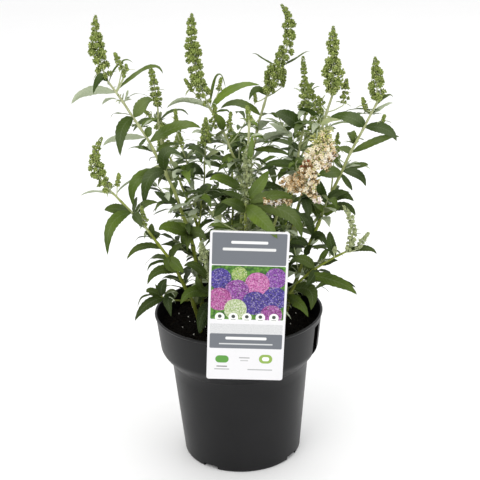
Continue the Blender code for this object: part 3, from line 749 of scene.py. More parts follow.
def blade_group():
    """A leaf read from its own map: the upper face in the left half, the felted face in the right."""
    tree, given, result = new_group(
        "leaf_blade",
        [("Map", "Vector"), ("Place", "Vector"), ("Upper", "Color"),
         ("Under", "Color")],
        SURFACE)
    split = add_node(tree, "ShaderNodeSeparateXYZ", {0: given["Map"]})
    under = maths(tree, "GREATER_THAN", split.outputs[0], 0.5)
    across = minus(tree, times(tree, split.outputs[0], 2.0), under)
    away = times(tree, maths(tree, "ABSOLUTE", minus(tree, across, 0.5)), 2.0)
    along = split.outputs[1]
    midrib = spread(tree, away, 0.02, 0.13, 1.0, 0.0, True)
    phase = minus(tree, times(tree, along, 13.0), times(tree, away, 1.9))
    wave = maths(tree, "SINE", times(tree, phase, math.tau))
    veins = times(tree, spread(tree, wave, 0.55, 1.0, 0.0, 1.0, True),
                  spread(tree, away, 0.3, 1.0, 1.0, 0.25))
    broad = grains(tree, given["Place"], 22.0, 2.0)
    fine = grains(tree, given["Place"], 900.0, 2.0)
    tint = mix(tree, spread(tree, broad, 0.35, 0.65), (0.62, 0.66, 0.55), (1.30, 1.22, 1.25))
    high = axis_of(tree, given["Place"], 2)
    sunlit = mix(tree, spread(tree, high, 0.23, 0.42), (0.50, 0.50, 0.50), (1.0, 0.98, 0.98))
    upper = stain(tree, given["Upper"], tint)
    upper = stain(tree, upper, sunlit)
    bloomy = times(tree, spread(tree, grains(tree, given["Place"], 34.0, 1.0), 0.44, 0.62, 0.0, 0.11),
                   spread(tree, high, 0.24, 0.40))
    upper = mix(tree, bloomy, upper, given["Under"])
    upper = mix(tree, times(tree, midrib, 0.06), upper, given["Under"])
    upper = mix(tree, times(tree, veins, 0.05), upper, given["Under"])
    felt = mix(tree, spread(tree, fine, 0.3, 0.7), (0.84, 0.86, 0.82), (1.10, 1.09, 1.12))
    lower = stain(tree, given["Under"], felt)
    ribs = maths(tree, "MAXIMUM", midrib, veins)
    lower = mix(tree, times(tree, ribs, 0.30), lower, (0.30, 0.38, 0.20))
    tree.links.new(mix(tree, under, upper, lower), result["Color"])
    sheen = plus(tree, spread(tree, broad, 0.3, 0.7, 0.46, 0.60), times(tree, under, 0.30))
    tree.links.new(sheen, result["Roughness"])
    sunk = times(tree, ribs, spread(tree, under, 0.0, 1.0, -1.0, 1.0))
    tree.links.new(plus(tree, sunk, times(tree, fine, 0.25)), result["Height"])
    return tree


def panel_group():
    """A mask of one rounded panel on a printed card."""
    tree, given, result = new_group(
        "printed_panel",
        [("Vector", "Vector"), ("Centre X", "Float"), ("Centre Y", "Float"),
         ("Half Width", "Float"), ("Half Height", "Float"), ("Corner", "Float")],
        [("Mask", "Float")])
    split = add_node(tree, "ShaderNodeSeparateXYZ", {0: given["Vector"]})
    legs = []
    for axis, centre, half in ((0, "Centre X", "Half Width"), (1, "Centre Y", "Half Height")):
        off = maths(tree, "ABSOLUTE", minus(tree, split.outputs[axis], given[centre]))
        reach = minus(tree, given[half], given["Corner"])
        legs.append(maths(tree, "MAXIMUM", minus(tree, off, reach), 0.0))
    square = plus(tree, times(tree, legs[0], legs[0]), times(tree, legs[1], legs[1]))
    away = minus(tree, maths(tree, "SQRT", square), given["Corner"])
    tree.links.new(spread(tree, away, 0.15, -0.15), result["Mask"])
    return tree


def placed_group(tree, group, inputs):
    """A placed group whose inputs are linked or filled."""
    node = tree.nodes.new("ShaderNodeGroup")
    node.node_tree = group
    for key, value in inputs.items():
        socket = node.inputs[key]
        if isinstance(value, bpy.types.NodeSocket):
            tree.links.new(value, socket)
        elif socket.type == "RGBA":
            socket.default_value = (*value[:3], 1)
        else:
            socket.default_value = value
    return node


def shared(name, maker):
    """A node group, made the first time it is asked for."""
    return bpy.data.node_groups.get(name) or maker()


class Finish:
    """A material, its tree and its shader."""

    def __init__(self, name, **sockets):
        self.material = bpy.data.materials.new(name)
        self.material.use_nodes = True
        self.tree = self.material.node_tree
        self.shader = self.tree.nodes["Principled BSDF"]
        for key, value in sockets.items():
            self.shader.inputs[key.replace("_", " ")].default_value = value

    def place(self):
        """Object coordinates."""
        return add_node(self.tree, "ShaderNodeTexCoord").outputs["Object"]

    def stretched(self, scale):
        """Object coordinates stretched by a scale."""
        node = add_node(self.tree, "ShaderNodeMapping", {"Vector": self.place()})
        node.inputs["Scale"].default_value = scale
        return node.outputs[0]

    def map(self, name):
        """The piece's own map."""
        return add_node(self.tree, "ShaderNodeUVMap", uv_map=name).outputs[0]

    def wire(self, colour, roughness, height, distance, strength):
        """Links colour, roughness and relief to the shader."""
        bump = add_node(self.tree, "ShaderNodeBump",
                        {"Height": height, "Distance": distance, "Strength": strength})
        for key, value in (("Base Color", colour), ("Roughness", roughness), ("Normal", bump.outputs[0])):
            self.tree.links.new(value, self.shader.inputs[key])
        return self.material

    def wire_group(self, group, inputs, distance, strength):
        """Places a group and links its colour, roughness and height to the shader."""
        outputs = placed_group(self.tree, group, inputs).outputs
        return self.wire(outputs["Color"], outputs["Roughness"], outputs["Height"], distance, strength)


def mottled(name, ground, fleck, broad, fine, amount, roughness, distance, strength=0.5, **sockets):
    """A finish mottled from two colours on Object coordinates."""
    finish = Finish(name, **sockets)
    return finish.wire_group(shared("mottle", mottle_group), {
        "Vector": finish.place(), "Ground": ground, "Fleck": fleck, "Broad Scale": broad,
        "Fine Scale": fine, "Amount": amount, "Roughness": roughness}, distance, strength)


def leaf_finish(name, upper, under):
    """The finish of one tone of leaf."""
    finish = Finish(name, Specular_IOR_Level=0.14)
    return finish.wire_group(shared("leaf_blade", blade_group), {
        "Map": finish.map("OFBake"), "Place": finish.place(), "Upper": upper, "Under": under}, 0.0002, 0.5)


def bud_finish(name, foot, tip, specks):
    """Buds coloured from a darker foot to a paler tip, mottled from bud to bud. The change is partly the
    buds' own colour and partly painted shade at the foot and painted light at the tip.
    """
    finish = Finish(name, Specular_IOR_Level=0.22)
    tree = finish.tree
    along = axis_of(tree, finish.map("OFBake"), 1)
    # Darker foot and paler tip: partly the buds' own colour, partly painted shade at the foot and painted
    # light at the tip.
    colour = mix(tree, spread(tree, along, 0.1, 0.9), foot, tip)
    patch = grains(tree, finish.place(), specks, 2.0)
    tint = mix(tree, spread(tree, patch, 0.35, 0.65), (0.60, 0.64, 0.55), (1.28, 1.22, 1.20))
    colour = stain(tree, colour, tint)
    felt = grains(tree, finish.place(), 2400.0, 2.0)
    return finish.wire(colour, spread(tree, patch, 0.3, 0.7, 0.62, 0.80), felt, 0.0001, 0.4)


# The pot.
# Radius and height of the rings under the foot and round its edge.
FOOT_RINGS = ((0.0600, 0.0010), (0.0645, 0.0010), (0.0655, 0.0), (0.0694, 0.0), (0.0706, 0.0004),
              (0.0713, 0.0013))
# Heights of the rings up the wall, the shoulder and the collar.
WALL_HEIGHTS = [0.0028, 0.006] + [0.014 + 0.012 * i for i in range(9)]
SHOULDER_HEIGHTS = [SHOULDER_FOOT + 0.0011 * i for i in range(18)]
COLLAR_HEIGHTS = [SHOULDER_TOP, 0.1470, 0.1530, 0.1590, 0.1640, 0.1700, 0.1750, 0.1790, 0.1806]
# The round bead of the rim: distance out from the rim's radius, and height.
RIM_BEAD = ((0.0002, 0.1812), (0.0007, 0.1818), (0.0009, 0.1826), (0.0007, 0.1834), (0.0001, 0.1839),
            (-0.0006, 0.1840), (-0.0014, 0.1838), (-0.0019, 0.1832))
# The shell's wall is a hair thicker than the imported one.
WALL_EXTRA = 0.0001
FLOOR_RINGS = ((0.0690, POT_FLOOR + 0.001), (0.0675, POT_FLOOR), (0.035, POT_FLOOR))
# The solid that trims the label channel's boss: how far inside the pot's outside it stays, its
# foot ring, and the heights of its other rings.
TRIM_INSET = 0.0004
TRIM_FOOT = (0.06, 0.02)
TRIM_HEIGHTS = (0.03, SHOULDER_FOOT, 0.124, 0.127, 0.131, 0.136, SHOULDER_TOP, 0.183)
POT_SIDES = 128
# Blocks that shape the collar, the foot and the compost: size, distance from the pot's axis,
# height of the middle, and rounding of the edges.
BLOCKS = {
    "boss": ((0.0196, 0.0200, 0.0513), 0.0982, 0.15165, 0.0006),
    "channel": ((0.0160, 0.0200, 0.0595), 0.1000, 0.14575, 0.0006),
    "notch": ((0.020, 0.010, 0.0096), 0.0675, 0.0, 0.0012),
    "room": ((0.0206, 0.0200, 0.0600), 0.0977, 0.153, 0.0006),
}


def pot_radius(height):
    """Outer radius of the pot at a height."""
    wall = BASE_RADIUS + (NECK_RADIUS - BASE_RADIUS) * height / SHOULDER_FOOT
    share = (height - SHOULDER_TOP) / (POT_HEIGHT - SHOULDER_TOP)
    collar = COLLAR_FOOT_RADIUS + (RIM_RADIUS - COLLAR_FOOT_RADIUS) * max(share, -0.25)
    if height <= SHOULDER_FOOT:
        return wall
    if height >= SHOULDER_TOP:
        return collar
    rise = (height - SHOULDER_FOOT) / (SHOULDER_TOP - SHOULDER_FOOT)
    return wall + (collar - wall) * math.sin(rise * math.pi / 2) ** 1.3


def pot_rings():
    """Radius and height of each ring of the pot, up the outside, over the rim and down the inside."""
    heights = WALL_HEIGHTS + SHOULDER_HEIGHTS + COLLAR_HEIGHTS
    inner = [h for h in reversed(heights) if POT_FLOOR + 0.004 < h < COLLAR_HEIGHTS[-1]]
    rings = [*FOOT_RINGS] + [(pot_radius(h), h) for h in heights]
    rings += [(RIM_RADIUS + out, h) for out, h in RIM_BEAD]
    rings += [(pot_radius(h) - POT_WALL - WALL_EXTRA, h) for h in inner]
    return rings + [*FLOOR_RINGS]


def block(name, turn):
    """A block with rounded edges, stood at a turn round the pot's axis."""
    size, radius, height, rounding = BLOCKS[name]
    angle = math.radians(turn)
    piece = box(name, size, (radius * math.sin(angle), -radius * math.cos(angle), height), angle)
    editing(piece)
    bpy.ops.mesh.bevel(offset=rounding, segments=3, affect="EDGES")
    done_editing()
    return piece


def is_inner_wall(face):
    """Whether a face of the pot is on the inside of its wall."""
    x, y, z = face.center
    inward = face.normal.x * x + face.normal.y * y < -0.001
    between = POT_FLOOR - 0.001 < z < POT_HEIGHT - 0.0007
    return inward and between and math.hypot(x, y) < pot_radius(z) - 0.0012


class BUSH_OT_pot(bpy.types.Operator):
    """Makes the moulded pot with its collar, label channel and foot notches"""
    bl_idname = "bush.pot"
    bl_label = "Pot"

    def execute(self, context):
        looks = context.scene.bush_pot
        pot = turned("pot_shell", POT_SIDES, pot_rings())
        boss = block("boss", CHANNEL_TURN)
        trim = [TRIM_FOOT] + [(pot_radius(h) - TRIM_INSET, h) for h in TRIM_HEIGHTS]
        combine(boss, turned("trim", POT_SIDES, trim), "INTERSECT")
        combine(pot, boss, "UNION")
        combine(pot, block("channel", CHANNEL_TURN), "DIFFERENCE")
        for turn in NOTCH_TURNS:
            combine(pot, block("notch", turn), "DIFFERENCE")
        finish = mottled("pot_plastic", looks.plastic, looks.scuff, 16.0, 700.0, 0.55, 0.40, 0.00012, 0.35,
                         Specular_IOR_Level=0.22)
        # The inner wall is darker than the outside: the compost colour mottled with the plastic, partly
        # painted shade inside the pot.
        inside = mottled("pot_inside", looks.peat_and_shade, looks.plastic, 30.0, 700.0, 0.6, 0.75, 0.00012, 0.3,
                         Specular_IOR_Level=0.05)
        settle(pot, [finish, inside], ["pot"], 32)
        for face in pot.data.polygons:
            face.material_index = int(is_inner_wall(face))
        return {"FINISHED"}


# The compost.
# Its lumps, crumbs and grit: waves to the metre, height, and level in the noise.
COMPOST_RELIEF = ((38, 0.0022, 3.1), (150, 0.0012, 7.7), (420, 0.0006, 1.3))
# The compost sinks by this much towards this radius.
COMPOST_SLUMP = 0.002
COMPOST_RADIUS = 0.094
# The bed's foot ring, the heights of the rings up its side, and its flat top before the relief.
BED_FOOT = (0.060, 0.0072)
BED_HEIGHTS = (0.0085, 0.07, SHOULDER_FOOT, 0.128, 0.134, 0.142)
BED_TOP = 0.163
BED_RINGS = 44
BED_SIDES = 120
# Room between the bed and the pot's wall.
BED_ROOM = 0.0004
# How far from the middle the crumbs lie.
CRUMB_REACH = 0.0880


def compost_height(x, y):
    """Height of the lumpy compost surface."""
    relief = sum(noise.noise(Vector((x * waves, y * waves, lift))) * height
                 for waves, height, lift in COMPOST_RELIEF)
    away = math.hypot(x, y) / COMPOST_RADIUS
    return SOIL_TOP - 0.0005 + relief - COMPOST_SLUMP * away ** 6


class BUSH_OT_compost(bpy.types.Operator):
    """Makes the compost with its crumbs and grit"""
    bl_idname = "bush.compost"
    bl_label = "Compost"

    def execute(self, context):
        looks = context.scene.bush_pot
        rng = random.Random(5)
        edge = BED_ROOM + POT_WALL
        outer = pot_radius(BED_TOP) - edge
        rings = [BED_FOOT] + [(pot_radius(h) - edge, h) for h in BED_HEIGHTS]
        rings += [(outer * (1 - i / BED_RINGS), BED_TOP) for i in range(BED_RINGS)]
        bed = turned("compost_bed", BED_SIDES, rings)
        combine(bed, block("room", CHANNEL_TURN), "DIFFERENCE")
        for vertex in bed.data.vertices:
            if abs(vertex.co.z - BED_TOP) < 0.0005:
                vertex.co.z = compost_height(vertex.co.x, vertex.co.y)
        # The bed's near-black colour is partly painted shade inside the pot.
        peat_and_shade = mottled("peat_and_shade", looks.peat_and_shade, looks.bark, 130.0, 900.0, 0.55, 0.93, 0.0009, 0.9,
                       Specular_IOR_Level=0.04)
        settle(bed, [peat_and_shade], ["soil"], 80)
        start_afresh()
        bpy.ops.mesh.primitive_ico_sphere_add(subdivisions=1, radius=1, calc_uvs=True)
        crumb = Template(bpy.context.object)
        for name, number, low, high, flat, colours in (
                ("compost_crumbs", looks.crumbs, 0.0007, 0.0024, 0.6, (looks.peat_and_shade, looks.bark)),
                ("compost_chips", 170, 0.0012, 0.0034, 0.3, ((0.004, 0.003, 0.002), (0.014, 0.009, 0.006))),
                ("perlite_grit", 34, 0.0008, 0.0017, 0.8, ((0.55, 0.53, 0.48), (0.75, 0.74, 0.70)))):
            origins, axes, spins, scales = [], [], [], []
            for _ in range(number):
                reach = CRUMB_REACH * math.sqrt(rng.random())
                turn = rng.uniform(0, math.tau)
                x, y = reach * math.cos(turn), reach * math.sin(turn)
                size = rng.uniform(low, high) * (0.6 + 0.4 * rng.random())
                origins.append((x, y, compost_height(x, y) + size * flat * 0.3))
                axes.append((rng.uniform(-0.5, 0.5), rng.uniform(-0.5, 0.5), 1))
                spins.append(rng.uniform(0, math.tau))
                scales.append((size, size * rng.uniform(0.5, 0.9), size * flat))
            bits = bundled(name, [(scattered(crumb, origins, axes, spins, scales), crumb)])
            finish = mottled(name, *colours, 160.0, 1500.0, 0.7, 0.92, 0.0004, 0.7,
                             Specular_IOR_Level=0.05)
            settle(bits, [finish], ["soil"], 30)
        return {"FINISHED"}


# The label.
# Plain shapes on the card, in millimetres from its lower left corner: middle, width, height,
# corner radius and colour, where None stands for the colour of the bands.
CARD_HEADING = (
    (43, 157.5, 81, 37, 1.5, None),
    (43, 165, 40, 3.2, 1.2, (0.80, 0.80, 0.79)),
    (43, 157, 58, 3.2, 1.2, (0.72, 0.72, 0.71)),
)
CARD_PICTURE = (43, 106, 81, 64, 1.5)
# Round flower heads in the picture: middle, size, light and shade.
CARD_HEADS = (
    (33, 128, 17, (0.52, 0.60, 0.22), (0.10, 0.22, 0.03)),
    (12, 122, 25, (0.11, 0.075, 0.42), (0.022, 0.014, 0.11)),
    (73, 124, 24, (0.36, 0.12, 0.50), (0.085, 0.016, 0.15)),
    (53, 117, 27, (0.72, 0.26, 0.54), (0.26, 0.035, 0.17)),
    (31, 108, 27, (0.40, 0.11, 0.46), (0.10, 0.016, 0.13)),
    (73, 100, 27, (0.11, 0.075, 0.42), (0.022, 0.014, 0.11)),
    (12, 98, 27, (0.60, 0.17, 0.44), (0.19, 0.024, 0.13)),
    (51, 94, 28, (0.10, 0.065, 0.38), (0.020, 0.012, 0.10)),
    (30, 86, 25, (0.74, 0.76, 0.58), (0.22, 0.33, 0.10)),
    (70, 80, 24, (0.46, 0.13, 0.44), (0.13, 0.018, 0.12)),
)
# Middles of the round badges, and the shapes of each: height, width, depth, corner and colour.
CARD_BADGES = (13, 28, 43, 58, 73)
CARD_BADGE = (
    (76.5, 10.5, 10.5, 5.0, (0.86, 0.87, 0.84)),
    (77.5, 4.2, 4.2, 2.0, (0.05, 0.06, 0.05)),
    (73.6, 5.6, 0.9, 0.4, (0.30, 0.31, 0.30)),
)
CARD_SPECKLED = (43, 62.5, 81, 12, 1.0)
CARD_FOOT = (
    (43, 47.5, 81, 18, 1.5, None),
    (43, 51, 46, 3.4, 1.5, (0.80, 0.80, 0.79)),
    (43, 44, 60, 1.5, 0.6, (0.62, 0.63, 0.63)),
    (17, 25, 15, 9, 4.4, (0.10, 0.30, 0.05)),
    (17, 16, 12, 1.2, 0.5, (0.10, 0.10, 0.10)),
    (17, 12.5, 17, 1.2, 0.5, (0.35, 0.36, 0.36)),
    (66, 26, 15, 11, 5.4, (0.26, 0.40, 0.08)),
    (66, 26, 8, 5, 2.4, (0.86, 0.87, 0.84)),
    (60, 12.5, 28, 1.2, 0.5, (0.35, 0.36, 0.36)),
    (42, 27, 12, 1.2, 0.5, (0.30, 0.30, 0.30)),
    (42, 23.5, 9, 1.2, 0.5, (0.45, 0.45, 0.45)),
)


def card_finish(looks):
    """Generic print for a plant label: heading, picture, badges, bands and small marks."""
    finish = Finish("label_print", Coat_Weight=0.12, Coat_Roughness=0.25, Specular_IOR_Level=0.30)
    tree = finish.tree
    page = finish.map("print")
    panel = shared("printed_panel", panel_group)

    def mask(centre_x, centre_y, width, height, corner):
        return placed_group(tree, panel, {
            "Vector": page, "Centre X": centre_x, "Centre Y": centre_y,
            "Half Width": width / 2, "Half Height": height / 2, "Corner": corner}).outputs[0]

    def stamped(ground, shapes):
        for *shape, ink in shapes:
            ground = mix(tree, mask(*shape), ground, ink or looks.band)
        return ground

    paper = grains(tree, finish.place(), 500.0, 3.0)
    colour = mix(tree, paper, tuple(c * 0.96 for c in looks.card), looks.card)
    colour = stamped(colour, CARD_HEADING)
    picture = mask(*CARD_PICTURE)
    leafage = add_node(tree, "ShaderNodeTexVoronoi", {"Vector": page, "Scale": 0.30})
    scene = mix(tree, spread(tree, leafage.outputs["Distance"], 0.1, 0.8),
                          (0.12, 0.30, 0.030), (0.020, 0.085, 0.012))
    colour = mix(tree, picture, colour, scene)
    dots = add_node(tree, "ShaderNodeTexVoronoi", {"Vector": page, "Scale": 0.80, "Randomness": 0.85})
    dot = spread(tree, dots.outputs["Distance"], 0.15, 0.75, 1.0, 0.0)
    sparkle = add_node(tree, "ShaderNodeSeparateColor", {0: dots.outputs["Color"]}).outputs[0]
    for x, y, size, light, shade in CARD_HEADS:
        tinted = mix(tree, dot, shade, light)
        glint = times(tree, maths(tree, "GREATER_THAN", sparkle, 0.8), 0.22)
        tinted = mix(tree, glint, tinted, (0.85, 0.75, 0.85))
        head = times(tree, mask(x, y, size, size, size / 2 - 0.2), picture)
        colour = mix(tree, head, colour, tinted)
    for x in CARD_BADGES:
        colour = stamped(colour, [(x, *shape) for shape in CARD_BADGE])
    speck = grains(tree, page, 1.4, 4.0, 0.8)
    stone = mix(tree, spread(tree, speck, 0.40, 0.60), (0.46, 0.47, 0.48), (0.78, 0.78, 0.78))
    colour = mix(tree, mask(*CARD_SPECKLED), colour, stone)
    colour = stamped(colour, CARD_FOOT)
    return finish.wire(colour, spread(tree, paper, 0.3, 0.7, 0.34, 0.44), paper, 0.00004, 0.25)


class BUSH_OT_label(bpy.types.Operator):
    """Makes the plant label: a printed card with a tongue that goes over the rim"""
    bl_idname = "bush.label"
    bl_label = "Label"

    def execute(self, context):
        looks = context.scene.bush_pot
        card = box("label_card", (CARD_WIDTH, CARD_THICK, CARD_HEIGHT), (0, 0, 0))
        editing(card)
        bpy.ops.mesh.select_mode(type="EDGE")
        bpy.ops.mesh.select_all(action="DESELECT")
        done_editing()
        for edge in card.data.edges:
            one, two = (card.data.vertices[i].co for i in edge.vertices)
            edge.select = abs(one.y - two.y) > CARD_THICK / 2
        bpy.ops.object.mode_set(mode="EDIT")
        bpy.ops.mesh.bevel(offset=CARD_CORNER, segments=6, affect="EDGES")
        done_editing()
        page = card.data.uv_layers.new(name="print")
        for face in card.data.polygons:
            for loop in face.loop_indices:
                at = card.data.vertices[card.data.loops[loop].vertex_index].co
                place = ((at.x + CARD_WIDTH / 2) / MM, (at.z + CARD_HEIGHT / 2) / MM)
                page.data[loop].uv = place if face.normal.y < -0.5 else OFF_PAGE
        card.location = CARD_CENTRE
        card.rotation_euler = (0, CARD_TURN, 0)
        put_in_place(card)
        low = POT_HEIGHT + GAP
        front = CARD_CENTRE[1]
        for name, near, far, foot, top, half in (
                ("bridge", front, TONGUE_BACK, low, low + 0.0008, TONGUE_HALF),
                ("drop", TONGUE_BACK - CARD_THICK, TONGUE_BACK - 0.0002, TONGUE_FOOT, low + 0.0005,
                 TONGUE_HALF - 0.0002)):
            strip = box(name, (half * 2, far - near, top - foot), (0, (near + far) / 2, (foot + top) / 2))
            strip.data.uv_layers[0].name = "print"
            for loop in strip.data.uv_layers[0].data:
                loop.uv = OFF_PAGE
            combine(card, strip, "UNION")
        settle(card, [card_finish(looks)], ["label"], 30)
        return {"FINISHED"}


# The canes.
def limbs(name, strands, sides):
    """Tapering limbs as one mesh: each strand is a list of points and radii, bevelled round and capped."""
    start_afresh()
    bpy.ops.curve.primitive_nurbs_path_add()
    piece = bpy.context.object
    piece.name = name
    curve = piece.data
    curve.splines.clear()
    curve.bevel_depth = 1.0
    curve.bevel_resolution = sides // 2 - 2
    curve.use_fill_caps = True
    for points, radii in strands:
        spline = curve.splines.new("POLY")
        spline.points.add(len(points) - 1)
        for place, point, radius in zip(spline.points, points, radii):
            place.co = (*point, 1)
            place.radius = radius
    take(piece)
    bpy.ops.object.convert(target="MESH")
    return bpy.context.object


# A cane's nodes: distance from one to the next, swelling, and length of the swelling.
INTERNODE = 0.031
NODE_SWELLING = 0.34
NODE_LENGTH = 0.0024
# How far a cane bends to and fro from node to node, and the distance between its rings.
CANE_KINK = 0.0005
CANE_STEP = 0.0032
CANE_SIDES = 12
TWIG_SIDES = 6


def cane_strand(line, foot_radius, top_radius, rng):
    """The points and radii of one cane, swollen a little at each node."""
    length = line.length()
    steps = max(16, int(length / CANE_STEP))
    points, radii = [], []
    if line.start is not None:
        points.append(line.start)
        radii.append(foot_radius * 1.12)
    lean = rng.uniform(0, math.tau)
    for i in range(steps + 1):
        share = i / steps
        along = share * length
        near = abs((along / INTERNODE + 0.35) % 1.0 - 0.5) * INTERNODE
        swelling = 1 + NODE_SWELLING * math.exp(-(near / NODE_LENGTH) ** 2)
        radius = foot_radius + (top_radius - foot_radius) * share
        kink = CANE_KINK * math.sin(along / INTERNODE * math.pi + lean)
        held = min(1, share * 6) * min(1, (1 - share) * 6)
        points.append(line.point(share) + Vector((kink, kink * 0.6, 0)) * held)
        radii.append(radius * swelling)
    return points, radii


class BUSH_OT_canes(bpy.types.Operator):
    """Makes the canes and side shoots with their nodes and bark"""
    bl_idname = "bush.canes"
    bl_label = "Canes"

    def execute(self, context):
        looks = context.scene.bush_plant
        rng = random.Random(looks.seed)
        lines = plant_lines()
        strands = [cane_strand(line, foot, top, rng) for line, foot, top in lines.values()]
        canes = limbs("canes_bark", strands, CANE_SIDES)
        places = np.empty((len(canes.data.vertices), 3), np.float32)
        normals = places.copy()
        canes.data.vertices.foreach_get("co", places.ravel())
        canes.data.vertices.foreach_get("normal", normals.ravel())
        ridges = [noise.noise(Vector(at) * 900) * 0.00010 + noise.noise(Vector(at) * 160) * 0.00012
                  for at in places]
        places += normals * np.array(ridges, np.float32)[:, None]
        canes.data.vertices.foreach_set("co", places.ravel())
        canes.data.update()
        finish = Finish("cane_bark", Specular_IOR_Level=0.2)
        tree = finish.tree
        height = axis_of(tree, finish.place(), 2)
        streaks = grains(tree, finish.stretched((1.0, 1.0, 0.12)), 900.0, 4.0, 0.7)
        patches = grains(tree, finish.place(), 60.0, 3.0)
        age = plus(tree, spread(tree, height, 0.27, 0.46, 0.0, 1.0),
                    spread(tree, patches, 0.3, 0.7, -0.18, 0.18), True)
        colour = mix(tree, age, looks.wood, looks.stem)
        tint = mix(tree, spread(tree, streaks, 0.35, 0.65), (0.70, 0.66, 0.60), (1.16, 1.14, 1.12))
        colour = stain(tree, colour, tint)
        shaded = mix(tree, spread(tree, height, 0.17, 0.28), (0.42, 0.40, 0.40), (1.0, 1.0, 1.0))
        colour = stain(tree, colour, shaded)
        bark = finish.wire(colour, spread(tree, streaks, 0.3, 0.7, 0.55, 0.75), streaks, 0.0003, 0.6)
        settle(canes, [bark], CANE_NODES, 60)
        return {"FINISHED"}


# The leaves.
# The outline of a blade: how fast it widens, and its width at the foot as a share of the widest.
BLADE_RISE = 0.66
BLADE_FOOT = 0.03
# Where along a leaf its tip starts to hook down.
HOOK_START = 0.74
# How deep a leaf's edge waves, as a share of its width, and half the thickness of its middle.
LEAF_WAVE = 0.05
LEAF_SHEET = 0.00013


def leaf_template(across, along, teeth, tail):
    """One leaf blade of two faces, laid along Y, as a closed shape with its map."""
    start_afresh()
    bpy.ops.mesh.primitive_grid_add(
        x_subdivisions=across, y_subdivisions=along, size=1, location=(0, 0.5, 0), calc_uvs=True)
    leaf = put_in_place(bpy.context.object)
    mesh = leaf.data
    layer = mesh.uv_layers.active
    for loop in mesh.loops:
        at = mesh.vertices[loop.vertex_index].co
        layer.data[loop.index].uv = (0.02 + 0.46 * (at.x + 0.5), 0.02 + 0.96 * at.y)
    middle = set()
    widest = BLADE_RISE ** BLADE_RISE * tail ** tail / (BLADE_RISE + tail) ** (BLADE_RISE + tail)
    for vertex in mesh.vertices:
        x, y = vertex.co.x * 2, vertex.co.y
        row = round(y * along)
        swell = max(y - BLADE_FOOT, 0) ** BLADE_RISE * (1 - y) ** tail
        grown = BLADE_FOOT + swell / widest * (1 - BLADE_FOOT)
        if abs(x) > 0.99:
            grown *= 1 + (teeth if row % 2 else -teeth)
        ends = row in (0, along)
        if abs(x) < 0.99 and not ends:
            middle.add(vertex.index)
        vertex.co = (0.0 if ends else x * grown, y, 0.0)
    editing(leaf)
    bpy.ops.mesh.duplicate()
    bpy.ops.mesh.flip_normals()
    done_editing()
    half = len(mesh.vertices) // 2
    for vertex in mesh.vertices:
        if vertex.index % half in middle:
            vertex.co.z = 1.0 if vertex.index < half else -1.0
    layer = mesh.uv_layers.active
    for face in mesh.polygons:
        for loop in face.loop_indices:
            if mesh.loops[loop].vertex_index >= half:
                layer.data[loop].uv.x += 0.5
    editing(leaf)
    bpy.ops.mesh.remove_doubles(threshold=0.00001)
    done_editing()
    return Template(leaf)


def small_leaf():
    """The blade of tuft leaves and bracts."""
    return leaf_template(2, 5, 0.0, 0.75)


class LeafHeap:
    """Rows of leaves waiting to be shaped: base, control, tip, facing, width and hook."""

    def __init__(self):
        self.rows = {}

    def add(self, tone, kind, base, control, tip, facing, width, hook, rng):
        """Adds one leaf of a tone and a kind, with a fold, wave and twist of its own."""
        own = (rng.uniform(0.05, 0.38), rng.uniform(0, math.tau), rng.uniform(-0.35, 0.35))
        row = (*base, *control, *tip, *facing, width, hook, *own)
        self.rows.setdefault((tone, kind), []).append(row)

    def shaped(self, tone, kind, template):
        """The points of all leaves of a tone and kind, bent along their curves."""
        rows = np.array(self.rows[(tone, kind)])
        base, control, tip, facing = (rows[:, None, i:i + 3] for i in (0, 3, 6, 9))
        width, hook, fold, phase, twist = (rows[:, i][:, None] for i in range(12, 17))
        across, along, sheet = template.points.T

        def curve(share):
            share = share[None, :, None]
            on = base * (1 - share) ** 2 + control * 2 * share * (1 - share) + tip * share ** 2
            hooked = np.clip((share - HOOK_START) / (1 - HOOK_START), 0, None)
            on[:, :, 2:3] -= hooked ** 2 * hook[:, :, None]
            return on

        middle = curve(along)
        way = unit(curve(along + 0.01) - curve(along - 0.01))
        face = np.repeat(facing, len(along), axis=1)
        face = unit(face - way * np.sum(face * way, axis=2, keepdims=True))
        side = np.cross(way, face)
        turn = (twist * along)[:, :, None]
        side, face = side * np.cos(turn) + face * np.sin(turn), face * np.cos(turn) - side * np.sin(turn)
        out = across * width / 2
        wave = np.abs(across) * np.sin(along * 15 + phase + across)
        lift = fold * np.abs(out) + LEAF_WAVE * width * wave + sheet * LEAF_SHEET
        return middle + side * out[:, :, None] + face * lift[:, :, None]


def raised(out, rise):
    """A level direction raised by an angle in degrees."""
    return out * math.cos(math.radians(rise)) + UP * math.sin(math.radians(rise))


def add_free_leaf(heap, tone, kind, base, out, rise, bend, length, width, rng):
    """A leaf that leaves its stem at a rise and droops by a bend, both in degrees."""
    first = raised(out, rise)
    second = raised(out, rise - bend)
    side = Vector((-out.y, out.x, 0)) * rng.uniform(-0.12, 0.12) * length
    depth = base.y + (first.y + second.y) * length * 0.5 + side.y
    if depth > DEEPEST:
        room = max(0.2, (DEEPEST - base.y) / (depth - base.y))
        length, width, side = length * room, width * room, side * room
    control = base + first * length * 0.5
    tip = control + second * length * 0.5 + side
    facing = UP + out * 0.7 + Vector((rng.uniform(-0.45, 0.45), rng.uniform(-0.45, 0.25), 0))
    if rng.random() < TURNED_OVER:
        facing = -facing + FRONT * rng.uniform(0, 0.6)
    hook = rng.uniform(0, 0.10) * length
    heap.add(tone, kind, base, control, tip, facing, width, hook, rng)


